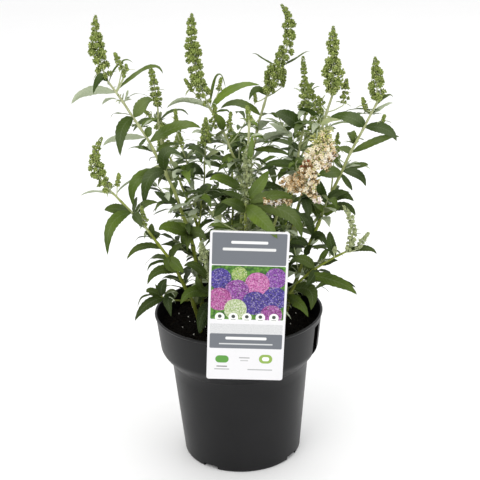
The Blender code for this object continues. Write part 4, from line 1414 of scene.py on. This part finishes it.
def add_tuft(heap, base, out, number, size, rng):
    """A tuft of small young leaves in an axil: some broad and short, some narrow and hooked."""
    for _ in range(number):
        way = Matrix.Rotation(rng.uniform(-1.1, 1.1), 3, "Z") @ out
        length = size * rng.uniform(0.5, 1.15)
        broad = rng.random() < 0.55
        tone = "young" if rng.random() < 0.5 else rng.choice(("green", "dark", "bright"))
        width = length * (rng.uniform(0.34, 0.46) * 0.8 if broad else rng.uniform(0.20, 0.28))
        rise = rng.uniform(20, 75)
        bend = rng.uniform(5, 50) if broad else rng.uniform(50, 110)
        add_free_leaf(heap, tone, "small", base + way * 0.001, way, rise, bend,
                      length * (0.85 if broad else 1), width, rng)


def deal_tone(rng, height):
    """A tone for one grown leaf: darker low down, brighter above."""
    light = (height - 0.20) / 0.22 + rng.uniform(-0.6, 0.6)
    if light < 0.25:
        return "dark"
    if light < 0.95:
        return "green"
    return "bright" if rng.random() < 0.65 else "green"


# Large leaves start above the rim, or this near to the pot's axis.
LOWEST_LEAF = 0.188
POT_CLEAR = 0.05


def grow_leaves(heap, strands, lines, looks):
    """The growing rule: opposite pairs, a quarter turn between pairs, with tufts and short side shoots."""
    for number, (name, low, high, internode, leaf_length, shoots, back_only) in enumerate(LEAFY):
        rng = random.Random(looks.seed * 1000 + number)
        line, foot_radius, top_radius = lines[name]
        turn = rng.uniform(0, math.pi)
        height = low + rng.uniform(-4, 4)
        while height < high:
            share = line.share_at(height * MM)
            spot = line.point(share)
            radius = foot_radius + (top_radius - foot_radius) * share
            for half in (0, math.pi):
                angle = turn + half + rng.uniform(-0.3, 0.3)
                if back_only:
                    angle = math.pi / 2 + rng.uniform(-0.8, 0.8) + (0.5 if half else -0.5)
                out = level(angle)
                base = spot + out * radius * 0.7
                tall = 1 - 0.35 * max(0, (height - 330) / 130)
                length = leaf_length * MM * rng.uniform(0.72, 1.18) * tall
                if base.z > LOWEST_LEAF or math.hypot(base.x, base.y) < POT_CLEAR:
                    tone = deal_tone(rng, spot.z)
                    rise, bend = rng.uniform(8, 58), rng.uniform(35, 100)
                    width = length * looks.leaf_width * rng.uniform(0.8, 1.15)
                    add_free_leaf(heap, tone, "grown", base, out, rise, bend, length, width, rng)
                add_tuft(heap, base, out, rng.randint(2, 4), 0.020 if back_only else 0.024, rng)
                if rng.random() < shoots:
                    grow_shoot(heap, strands, base, out, rng.uniform(0.022, 0.050), rng)
            turn += math.pi / 2 + rng.uniform(-0.2, 0.2)
            height += internode * rng.uniform(0.85, 1.15)


def grow_shoot(heap, strands, base, out, length, rng):
    """A short side shoot with small opposite leaves and a tuft at its end."""
    way = raised(out, rng.uniform(30, 65))
    if way.y > 0.05:
        length = min(length, max(0.006, (DEEPEST - 0.010 - base.y) / way.y))
    top = base + way * length
    line = Line(base, top, UP * -0.002)
    strands.append(line.strand(7, 0.0009, 0.0003))
    turn = rng.uniform(0, math.pi)
    for share in (0.45, 0.75, 1.0):
        spot = line.point(share)
        for half in (0, math.pi):
            way = (level(turn + half) + out * 0.5).normalized()
            size = rng.uniform(0.024, 0.046) * (1.15 - 0.35 * share)
            tone = rng.choice(("young", "green", "bright", "dark"))
            add_free_leaf(heap, tone, "small", spot, way, rng.uniform(15, 60), rng.uniform(30, 90),
                          size, size * rng.uniform(0.24, 0.34), rng)
        turn += math.pi / 2
    add_tuft(heap, top, out, 3, 0.014, rng)


def felt_stems(heap, lines):
    """Young felted leaves close round some stretches of cane."""
    rng = random.Random(9)
    for name, low, high, number, length in FELTED:
        line, foot_radius, _ = lines[name]
        for _ in range(number):
            spot = line.at(rng.uniform(low, high) * MM)
            out = level(rng.uniform(0, math.tau))
            long = length * MM * rng.uniform(0.55, 1.15)
            add_free_leaf(heap, "young", "small", spot + out * foot_radius * 0.5, out, rng.uniform(15, 82),
                          rng.uniform(0, 115), long, long * rng.uniform(0.16, 0.34), rng)


def set_leaves(heap, lines):
    """The leaves that are listed one by one, each on its own cane or spike."""
    rng = random.Random(3)
    for name, *leaves in HAND_LEAVES:
        spike = name.removeprefix("spike_")
        line = lines[name][0] if spike == name else spike_line(lines, spike)
        for height, tip, bow, width, facing, tone in leaves:
            base = line.at(height * MM)
            tip = mm(tip)
            control = (base + tip) / 2 + mm(bow) * 2
            length = (base - control).length + (control - tip).length
            hook = (rng.uniform(0.08, 0.14) if width <= 6 else rng.uniform(0.02, 0.06)) * length
            heap.add(tone, "set", base, control, tip + UP * hook, raised(FRONT, 90 - facing),
                     width * MM, hook, rng)


class BUSH_OT_leaves(bpy.types.Operator):
    """Grows the leaves, with their tufts and side shoots"""
    bl_idname = "bush.leaves"
    bl_label = "Leaves"

    def execute(self, context):
        looks = context.scene.bush_plant
        lines = plant_lines()
        heap = LeafHeap()
        strands = []
        set_leaves(heap, lines)
        felt_stems(heap, lines)
        grow_leaves(heap, strands, lines, looks)
        templates = {"set": leaf_template(4, 18, 0.045, 0.92), "grown": leaf_template(2, 11, 0.05, 0.95),
                     "small": small_leaf()}
        for tone in TONES:
            shapes = [(heap.shaped(tone, kind, template), template)
                      for kind, template in templates.items() if (tone, kind) in heap.rows]
            leaves = bundled("leaves_" + tone, shapes)
            upper = looks.leaf_green if tone == "pale" else getattr(looks, "leaf_" + tone)
            finish = leaf_finish("leaf_" + tone, upper, looks.leaf_under)
            settle(leaves, [finish], LEAF_NODES, 75)
        twigs = limbs("side_shoots", strands, TWIG_SIDES)
        finish = mottled("shoot_bark", looks.stem, looks.wood, 60.0, 900.0, 0.6, 0.68, 0.0002)
        settle(twigs, [finish], CANE_NODES)
        return {"FINISHED"}


# The spikes.
def bud_template(sides, rings):
    """A small closed bud stood on the origin, one unit long and one in radius."""
    start_afresh()
    bpy.ops.mesh.primitive_uv_sphere_add(segments=sides, ring_count=rings, radius=1, calc_uvs=True)
    bud = bpy.context.object
    for vertex in bud.data.vertices:
        up = (vertex.co.z + 1) / 2
        swell = 0.62 + 0.62 * up - 0.22 * up * up
        vertex.co = (vertex.co.x * swell, vertex.co.y * swell, up)
    layer = bud.data.uv_layers.active
    for loop in bud.data.loops:
        at = bud.data.vertices[loop.vertex_index].co
        layer.data[loop.index].uv = (0.3 + 0.2 * at.x, 0.05 + 0.9 * at.z)
    return Template(bud)


class BudHeap:
    """Buds waiting to be shaped, by piece."""

    def __init__(self):
        self.rows = {}

    def add(self, piece, origin, axis, length, radius, rng):
        """Adds one bud."""
        self.rows.setdefault(piece, []).append((*origin, *axis, rng.uniform(0, math.tau), length, radius))

    def bundle(self, piece, template):
        """The mesh of one piece's buds."""
        rows = np.array(self.rows[piece])
        scales = rows[:, (8, 8, 7)]
        points = scattered(template, rows[:, 0:3], rows[:, 3:6], rows[:, 6], scales)
        return bundled(piece, [(points, template)])


def any_way(rng):
    """A random direction."""
    z = rng.uniform(-1, 1)
    turn = rng.uniform(0, math.tau)
    flat = math.sqrt(1 - z * z)
    return Vector((flat * math.cos(turn), flat * math.sin(turn), z))


def over_ball(out, number, reach, start=0.0):
    """Directions spread evenly over a ball, from the pole at out down to a reach below it."""
    side = out.orthogonal().normalized()
    other = out.cross(side)
    for i in range(number):
        height = 1 - reach * (i + 0.5) / number
        flat = math.sqrt(max(0.0, 1 - height * height))
        turn = i * GOLDEN_TURN + start
        yield out * height + side * flat * math.cos(turn) + other * flat * math.sin(turn)


def plain_piece(x, felted):
    """The piece that plain buds belong to: felted ones apart, the others by the side they are on."""
    if felted:
        return "buds_felted"
    return "buds_green_left" if x < 0 else "buds_green_right"


# The smallest cluster's radius, the most buds in a cluster, and the number in a spike's point.
LEAST_CLUSTER = 0.0018
MOST_BUDS = 32
POINT_BUDS = 46
# How full a spike is at its foot: by name, and for all others.
BELLIES = {"right_tall": 0.85, "mid_tall": 1.0}
BELLY = 0.72
# The share of pale buds near a spike's foot: by name, and for all others.
PALE_SHARES = {"right_tall": 0.62}
PALE_SHARE = 0.30


def ball_of_buds(buds, centre, size, out, pale, felted, rng):
    """A round cluster of buds that stand out from its middle, over a plain heart."""
    plain = plain_piece(centre.x, felted)
    buds.add(plain, centre - out * size * 0.78, out, size * 1.52, size * 0.70, rng)
    spin = Matrix.Rotation(rng.uniform(0, math.tau), 3, out)
    number = min(int(7 + 1.30 * (size / 0.001) ** 1.70), MOST_BUDS)
    length = 0.0015 + size * 0.24
    for axis in over_ball(out, number, 1.62):
        axis = (spin @ axis + any_way(rng) * 0.22).normalized()
        long = length * rng.uniform(0.85, 1.15)
        piece = "buds_light" if rng.random() < pale and not felted else plain
        foot = centre + axis * max(size * rng.uniform(0.9, 1.08) - long, 0.0001)
        buds.add(piece, foot, axis, long, long * rng.uniform(0.36, 0.45), rng)


class SpikeHeap:
    """What the flower spikes are made of: buds, stalks and bracts."""

    def __init__(self):
        self.buds = BudHeap()
        self.bracts = LeafHeap()
        self.strands = []

    def dress(self, line, foot_radius, stalk, pale, taper, belly, felted, rng):
        """Tiers of opposite bud clusters up a spike, drawn in to a point."""
        length = line.length()
        self.strands.append(line.strand(14, stalk, stalk * 0.62))
        point_length = min(0.010, length * 0.17)
        along = foot_radius * 0.30
        turn = rng.uniform(0, math.pi)
        while along < length - point_length * 0.6:
            share = along / length
            reach = foot_radius * min(1.0, (1 - share) / taper) ** 0.5 * min(1.0, belly + share)
            self.add_tier(line, share, reach, turn, stalk, pale, felted, rng)
            turn += math.pi / 4 + rng.uniform(-0.25, 0.25)
            along += (reach * (0.62 - 0.10 * share) + 0.0008) * rng.uniform(0.85, 1.15)
        self.add_point(line, point_length / length, min(0.0030, foot_radius * 0.28), felted, rng)

    def add_tier(self, line, share, reach, turn, stalk, pale, felted, rng):
        """Four clusters round a spike, two large and two small, some with a bract."""
        spot = line.point(share)
        way = line.direction(share)
        fullness = rng.uniform(0.74, 1.12)
        for k in range(4):
            small = k % 2
            across = level(turn + k * math.pi / 2 + rng.uniform(-0.28, 0.28))
            across = (across - way * across.dot(way)).normalized()
            extent = reach * fullness * (0.84 if small else 1.0) * rng.uniform(0.84, 1.16)
            size = extent * ((0.37 if small else 0.41) + 0.07 * share) * rng.uniform(0.88, 1.12)
            size = max(LEAST_CLUSTER, size)
            out = (across + way * rng.uniform(0.30, 0.80)).normalized()
            centre = spot + out * max(extent - size, size * 0.4) + way * rng.uniform(-0.1, 0.1) * reach
            if extent > 0.004:
                self.strands.append(([spot, centre], [stalk * 0.40, stalk * 0.30]))
            ball_of_buds(self.buds, centre, size, out, pale * (1.3 - 0.9 * share), felted, rng)
            if not small and share < 0.6 and rng.random() < 0.55:
                bract = 0.007 + 0.010 * (1 - share) * rng.random()
                add_free_leaf(self.bracts, "young", "small", spot + across * stalk, across,
                              rng.uniform(-5, 45), rng.uniform(20, 80), bract, bract * 0.17, rng)

    def add_point(self, line, point_share, point_radius, felted, rng):
        """The close young buds of a spike's point."""
        plain = plain_piece(line.tip.x, felted)
        for i in range(POINT_BUDS):
            left = 1 - i / POINT_BUDS
            share = 1 - point_share * left
            way = line.direction(share)
            across = any_way(rng)
            across = (across - way * across.dot(way)).normalized()
            room = point_radius * left ** 0.6 + 0.0003
            foot = line.point(share) + across * room * 0.7 - way * 0.0006
            self.buds.add(plain, foot, (way + across * 0.45).normalized(), 0.0022, 0.00074, rng)


class BUSH_OT_spikes(bpy.types.Operator):
    """Makes the green flower spikes, large and small"""
    bl_idname = "bush.spikes"
    bl_label = "Flower spikes"

    def execute(self, context):
        looks = context.scene.bush_plant
        lines = plant_lines()
        heap = SpikeHeap()
        for number, (name, (_, _, radius, taper, _)) in enumerate(SPIKES.items()):
            rng = random.Random(looks.seed * 100 + number)
            heap.dress(spike_line(lines, name), radius * MM, lines[name][2] * 0.9,
                       PALE_SHARES.get(name, PALE_SHARE), taper, BELLIES.get(name, BELLY),
                       name in FELTED_SPIKES, rng)
        side_spikes = [(parent, *row) for parent, *rows in SIDE_SPIKES for row in rows]
        for number, (parent, height, foot, tip, radius) in enumerate(side_spikes):
            rng = random.Random(looks.seed * 200 + number)
            start = lines[parent][0].at(height * MM)
            foot, tip = mm(foot), mm(tip)
            bend = start.lerp(foot, 0.5) - UP * 0.001
            heap.strands.append(([start, bend, foot], [0.0008, 0.0007, 0.0006]))
            heap.dress(Line(foot, tip, (0, 0, 0)), radius * MM * 1.25, 0.0006, 0.22, 0.8, 0.8,
                       parent in FELTED_SPIKES, rng)
            if number % 2 == 0:
                add_tuft(heap.bracts, foot, FRONT.copy(), 2, 0.012, rng)
        for number, (parent, low, high, radius) in enumerate(COLUMNS):
            rng = random.Random(looks.seed * 300 + number)
            foot, tip = (lines[parent][0].at(z * MM) for z in (low, high))
            heap.dress(Line(foot, tip, (0, 0, 0)), radius * MM, 0.0008, 0.05, 0.8, 0.55, True, rng)
        bud = bud_template(5, 3)
        felted = bud_finish("bud_felted", looks.leaf_young, (0.400, 0.450, 0.250), 500.0)
        # The green buds' foot is the bud colour darkened to 0.62, painted shade between the buds.
        green = bud_finish("bud_green", tuple(c * 0.62 for c in looks.bud), looks.bud, 420.0)
        light = bud_finish("bud_light", looks.bud, looks.bud_light, 420.0)
        for piece in heap.buds.rows:
            finish = {"buds_light": light, "buds_felted": felted}.get(piece, green)
            settle(heap.buds.bundle(piece, bud), [finish], SPIKE_NODES, 80)
        stalks = limbs("spike_stalks", heap.strands, TWIG_SIDES)
        finish = mottled("stalk_felt", looks.stem, looks.bud_light, 90.0, 1200.0, 0.6, 0.72, 0.0002)
        settle(stalks, [finish], CANE_NODES + SPIKE_NODES)
        blade = small_leaf()
        shapes = [(heap.bracts.shaped(tone, kind, blade), blade) for tone, kind in heap.bracts.rows]
        finish = leaf_finish("bract_felt", looks.leaf_young, looks.leaf_under)
        settle(bundled("spike_bracts", shapes), [finish], SPIKE_NODES, 75)
        return {"FINISHED"}


# The bloom.
def floret_template():
    """A four-lobed floret on a short tube, facing up Z, with its map running out from the eye."""
    start_afresh()
    bpy.ops.mesh.primitive_circle_add(vertices=16, radius=1, fill_type="NOTHING", calc_uvs=True)
    floret = bpy.context.object
    editing(floret)
    bpy.ops.mesh.select_mode(type="VERT")
    for rise, grow in ((0, 0.60), (-0.05, 0.40), (-2.0, 0.60)):
        draw_ring(rise, grow)
    bpy.ops.mesh.merge(type="CENTER")
    bpy.ops.mesh.select_all(action="SELECT")
    done_editing()
    for vertex in floret.data.vertices:
        reach = math.hypot(vertex.co.x, vertex.co.y)
        if reach > 0.5:
            turn = math.atan2(vertex.co.y, vertex.co.x)
            lobe = 0.42 + 0.58 * abs(math.cos(2 * turn)) ** 0.60
            grow = lobe if reach > 0.9 else 0.5 + 0.5 * lobe
            vertex.co.x *= grow
            vertex.co.y *= grow
            vertex.co.z += 0.10 * (reach - 0.4) - 0.18 * max(0, reach - 0.8)
    take(floret)
    solid = floret.modifiers.new("Thickness", "SOLIDIFY")
    solid.thickness = 0.05
    solid.offset = 0
    bpy.ops.object.modifier_apply(modifier=solid.name)
    editing(floret)
    bpy.ops.mesh.normals_make_consistent(inside=False)
    done_editing()
    layer = floret.data.uv_layers.active
    for loop in floret.data.loops:
        at = floret.data.vertices[loop.vertex_index].co
        away = 0.02 + 0.9 * math.hypot(at.x, at.y) if at.z > -0.15 else 0.3
        layer.data[loop.index].uv = (0.5 + 0.1 * math.atan2(at.y, at.x), away)
    return Template(floret)


def pick(rng, shares):
    """One of several named shares."""
    left = rng.random()
    for name, share in shares:
        left -= share
        if left <= 0:
            return name
    return shares[-1][0]


def floret_finish(name):
    """Papery lobes round a darker eye."""
    lobes, fading, eye = BLOOM_COLOURS[name]
    finish = Finish(name, Specular_IOR_Level=0.25)
    tree = finish.tree
    reach = axis_of(tree, finish.map("OFBake"), 1)
    patch = grains(tree, finish.place(), 120.0, 3.0)
    colour = mix(tree, spread(tree, patch, 0.40, 0.62), lobes, fading)
    edge = spread(tree, reach, 0.55, 0.95, 0.0, 0.45)
    colour = mix(tree, edge, colour, tuple(min(1.0, c * 1.15) for c in lobes))
    colour = mix(tree, spread(tree, reach, 0.10, 0.32, 1.0, 0.0, True), colour, eye)
    creases = grains(tree, finish.place(), 1800.0, 3.0)
    return finish.wire(colour, spread(tree, patch, 0.3, 0.7, 0.60, 0.76), creases, 0.00015, 0.4)


# Foot and tip colours of each kind of bud in the bloom. The darker foot is partly the buds' own colour and
# partly painted shade.
BLOOM_BUDS = {
    "bloom_buds_green": ((0.20, 0.24, 0.05), (0.62, 0.62, 0.24)),
    "bloom_buds_cream": ((0.50, 0.48, 0.18), (0.86, 0.78, 0.52)),
    "bloom_spent": ((0.09, 0.075, 0.018), (0.34, 0.20, 0.065)),
}
# Kinds of head whose heart is green.
GREEN_HEARTS = ("green", "budding", "cream", "white")
HEART_BUDS = 14
# Heads this far apart get another between them.
HEAD_GAP = (0.009, 0.0155)


def heads_of_bloom():
    """The listed heads, then one between each two near neighbours: middle, radius and kind."""
    heads = [(mm(middle), radius * MM, kind) for middle, radius, kind in BLOOM_HEADS]
    between = []
    for number, (middle, radius, kind) in enumerate(heads):
        for other_middle, other_radius, _ in heads[number + 1:]:
            if HEAD_GAP[0] < (middle - other_middle).length < HEAD_GAP[1]:
                between.append((middle.lerp(other_middle, 0.5), (radius + other_radius) * 0.40, kind))
    return heads + between


class BUSH_OT_bloom(bpy.types.Operator):
    """Makes the one open bloom: heads of cream, tan and faded florets with buds at the tip"""
    bl_idname = "bush.bloom"
    bl_label = "Open bloom"

    def execute(self, context):
        looks = context.scene.bush_plant
        rng = random.Random(looks.seed + 77)
        line = plant_lines()["bloom"][0]
        cone = Line(line.point(1.0), mm(BLOOM_TIP), mm(BLOOM_BOW))
        strands = [cone.strand(16, 0.0013, 0.0009)]
        florets = {name: [] for name in BLOOM_COLOURS}
        buds = BudHeap()
        bracts = LeafHeap()
        for middle, radius, kind in heads_of_bloom():
            share = min((i / 40 for i in range(41)), key=lambda i: (cone.point(i) - middle).length)
            root = cone.point(max(0.0, share - 0.10))
            out = (middle - root).normalized()
            strands.append(([root, middle], [0.0007, 0.0004]))
            for axis in over_ball(out, int(5 + (radius / 0.001) * 2.3), 1.72, radius * 900):
                axis = (axis + any_way(rng) * 0.75).normalized()
                piece = "bloom_" + pick(rng, BLOOM_KINDS[kind])
                if piece in florets:
                    faded = piece == "bloom_florets_brown"
                    size = rng.uniform(0.0018, 0.0024) if faded else rng.uniform(0.0019, 0.0028)
                    place = middle + axis * radius * rng.uniform(0.45, 1.05)
                    florets[piece].append((place, axis, size, 1.1 if faded else 0.85))
                else:
                    long = rng.uniform(0.0036, 0.0056)
                    foot = middle + axis * (radius * 0.8 - long * 0.5)
                    buds.add(piece, foot, axis, long, long * 0.19, rng)
            heart = "bloom_buds_green" if kind in GREEN_HEARTS else "bloom_spent"
            for _ in range(HEART_BUDS):
                axis = any_way(rng)
                buds.add(heart, middle + axis * radius * 0.15, axis, radius * 0.62, 0.0009, rng)
            if kind in ("green", "cream") and rng.random() < 0.6:
                add_free_leaf(bracts, "young", "small", middle, out, rng.uniform(20, 60), 30, radius * 1.5,
                              0.0018, rng)
        template = floret_template()
        for name, rows in florets.items():
            spins = [rng.uniform(0, math.tau) for _ in rows]
            places, axes, sizes, depths = zip(*rows)
            scales = [(size, size, size * depth) for size, depth in zip(sizes, depths)]
            shapes = [(scattered(template, places, axes, spins, scales), template)]
            settle(bundled(name, shapes), [floret_finish(name)], ["bloom_cone"], 50)
        bud = bud_template(5, 4)
        for piece, (foot, tip) in BLOOM_BUDS.items():
            finish = bud_finish(piece, foot, tip, 300.0)
            settle(buds.bundle(piece, bud), [finish], ["bloom_cone"], 80)
        stalks = limbs("bloom_stalks", strands, TWIG_SIDES)
        finish = mottled("bloom_stalk_felt", looks.stem, looks.bud, 90.0, 1200.0, 0.6, 0.72, 0.0002)
        settle(stalks, [finish], ["bloom_cone"])
        blade = small_leaf()
        shapes = [(bracts.shaped("young", "small", blade), blade)]
        finish = leaf_finish("bloom_bract", looks.leaf_green, looks.leaf_under)
        settle(bundled("bloom_bracts", shapes), [finish], ["bloom_cone"], 75)
        return {"FINISHED"}


# The stage.
CAMERA_PLACE = Vector((0.0, -1.2145, 0.718))
CAMERA_PITCH = 0.3527
CAMERA_YAW = 0.0034
CAMERA_ROLL = -0.0301
# The lights look at this point. Each has its place, size, power and colour.
LIT_POINT = Vector((0, 0, 0.25))
LIGHTS = {
    "key_light": ((-1.5, -2.1, 2.3), 1.8, 26, (1.0, 0.985, 0.96)),
    "fill_light": ((2.2, -1.3, 1.4), 1.6, 11, (0.97, 0.985, 1.0)),
    "top_light": ((0.3, 0.9, 2.6), 2.2, 16, (1.0, 1.0, 1.0)),
}
STUDIO_LIGHT = 0.98


def camera_turn():
    """The camera's turn, from its pitch, yaw and roll."""
    flat = math.cos(CAMERA_PITCH)
    ahead = Vector((math.sin(CAMERA_YAW) * flat, math.cos(CAMERA_YAW) * flat, -math.sin(CAMERA_PITCH)))
    right = Vector((math.cos(CAMERA_YAW), -math.sin(CAMERA_YAW), 0))
    above = right.cross(ahead)
    cos, sin = math.cos(CAMERA_ROLL), math.sin(CAMERA_ROLL)
    columns = (right * cos + above * sin, above * cos - right * sin, -ahead)
    return Matrix(columns).transposed()


def softbox(name, place, size, power, colour):
    """A soft square light that looks at the plant."""
    bpy.ops.object.light_add(type="AREA", location=place)
    lamp = bpy.context.object
    lamp.name = name
    lamp.data.shape = "SQUARE"
    lamp.data.size = size
    lamp.data.energy = power
    lamp.data.color = colour
    lamp.rotation_euler = (LIT_POINT - Vector(place)).to_track_quat("-Z", "Y").to_euler()


class BUSH_OT_stage(bpy.types.Operator):
    """Sets the floor, the lights and the camera"""
    bl_idname = "bush.stage"
    bl_label = "Stage"

    def execute(self, context):
        looks = context.scene.bush_stage
        start_afresh()
        bpy.ops.object.camera_add(location=CAMERA_PLACE)
        camera = context.object
        camera.name = "camera"
        camera.rotation_euler = camera_turn().to_euler()
        camera.data.lens = looks.lens
        camera.data.sensor_width = 36
        camera.data.clip_start = 0.01
        camera.data.clip_end = 100
        context.scene.camera = camera
        start_afresh()
        bpy.ops.mesh.primitive_plane_add(size=looks.size, location=(0, 0, -0.0001))
        floor = context.object
        floor.name = "floor"
        shade = tuple(c * 0.97 for c in looks.floor)
        pale = mottled("floor_pale", looks.floor, shade, 3.0, 60.0, 0.5, 0.8, 0.0002, 0.1)
        floor.data.materials.append(pale)
        for name, settings in LIGHTS.items():
            softbox(name, *settings)
        world = bpy.data.worlds.new("studio")
        world.use_nodes = True
        background = world.node_tree.nodes["Background"]
        background.inputs["Color"].default_value = (1.0, 1.0, 1.0, 1)
        background.inputs["Strength"].default_value = STUDIO_LIGHT
        context.scene.world = world
        context.scene.view_settings.view_transform = "Standard"
        return {"FINISHED"}


class BUSH_PT_panel(bpy.types.Panel):
    """Lists the parts of the potted bush"""
    bl_idname = "BUSH_PT_panel"
    bl_label = "Potted bush"
    bl_space_type = "VIEW_3D"
    bl_region_type = "UI"
    bl_category = "Bush"

    def draw(self, context):
        layout = self.layout
        for settings in (context.scene.bush_pot, context.scene.bush_plant, context.scene.bush_stage):
            box = layout.box()
            for name in settings.__annotations__:
                box.prop(settings, name)
        for operator in OPERATORS:
            layout.operator(operator.bl_idname)


OPERATORS = (BUSH_OT_pot, BUSH_OT_compost, BUSH_OT_label, BUSH_OT_canes, BUSH_OT_leaves, BUSH_OT_spikes,
             BUSH_OT_bloom, BUSH_OT_stage)
SETTINGS = {"bush_pot": BushPotSettings, "bush_plant": BushPlantSettings, "bush_stage": BushStageSettings}


def register():
    """Registers the settings, operators and panel."""
    for name, group in SETTINGS.items():
        bpy.utils.register_class(group)
        setattr(bpy.types.Scene, name, bpy.props.PointerProperty(type=group))
    for operator in OPERATORS:
        bpy.utils.register_class(operator)
    bpy.utils.register_class(BUSH_PT_panel)


def unregister():
    """Undoes register."""
    bpy.utils.unregister_class(BUSH_PT_panel)
    for operator in reversed(OPERATORS):
        bpy.utils.unregister_class(operator)
    for name, group in SETTINGS.items():
        delattr(bpy.types.Scene, name)
        bpy.utils.unregister_class(group)


def main():
    register()
    bpy.ops.bush.stage()
    bpy.ops.bush.pot()
    bpy.ops.bush.compost()
    bpy.ops.bush.label()
    bpy.ops.bush.canes()
    bpy.ops.bush.leaves()
    bpy.ops.bush.spikes()
    bpy.ops.bush.bloom()


if __name__ == "__main__":
    main()
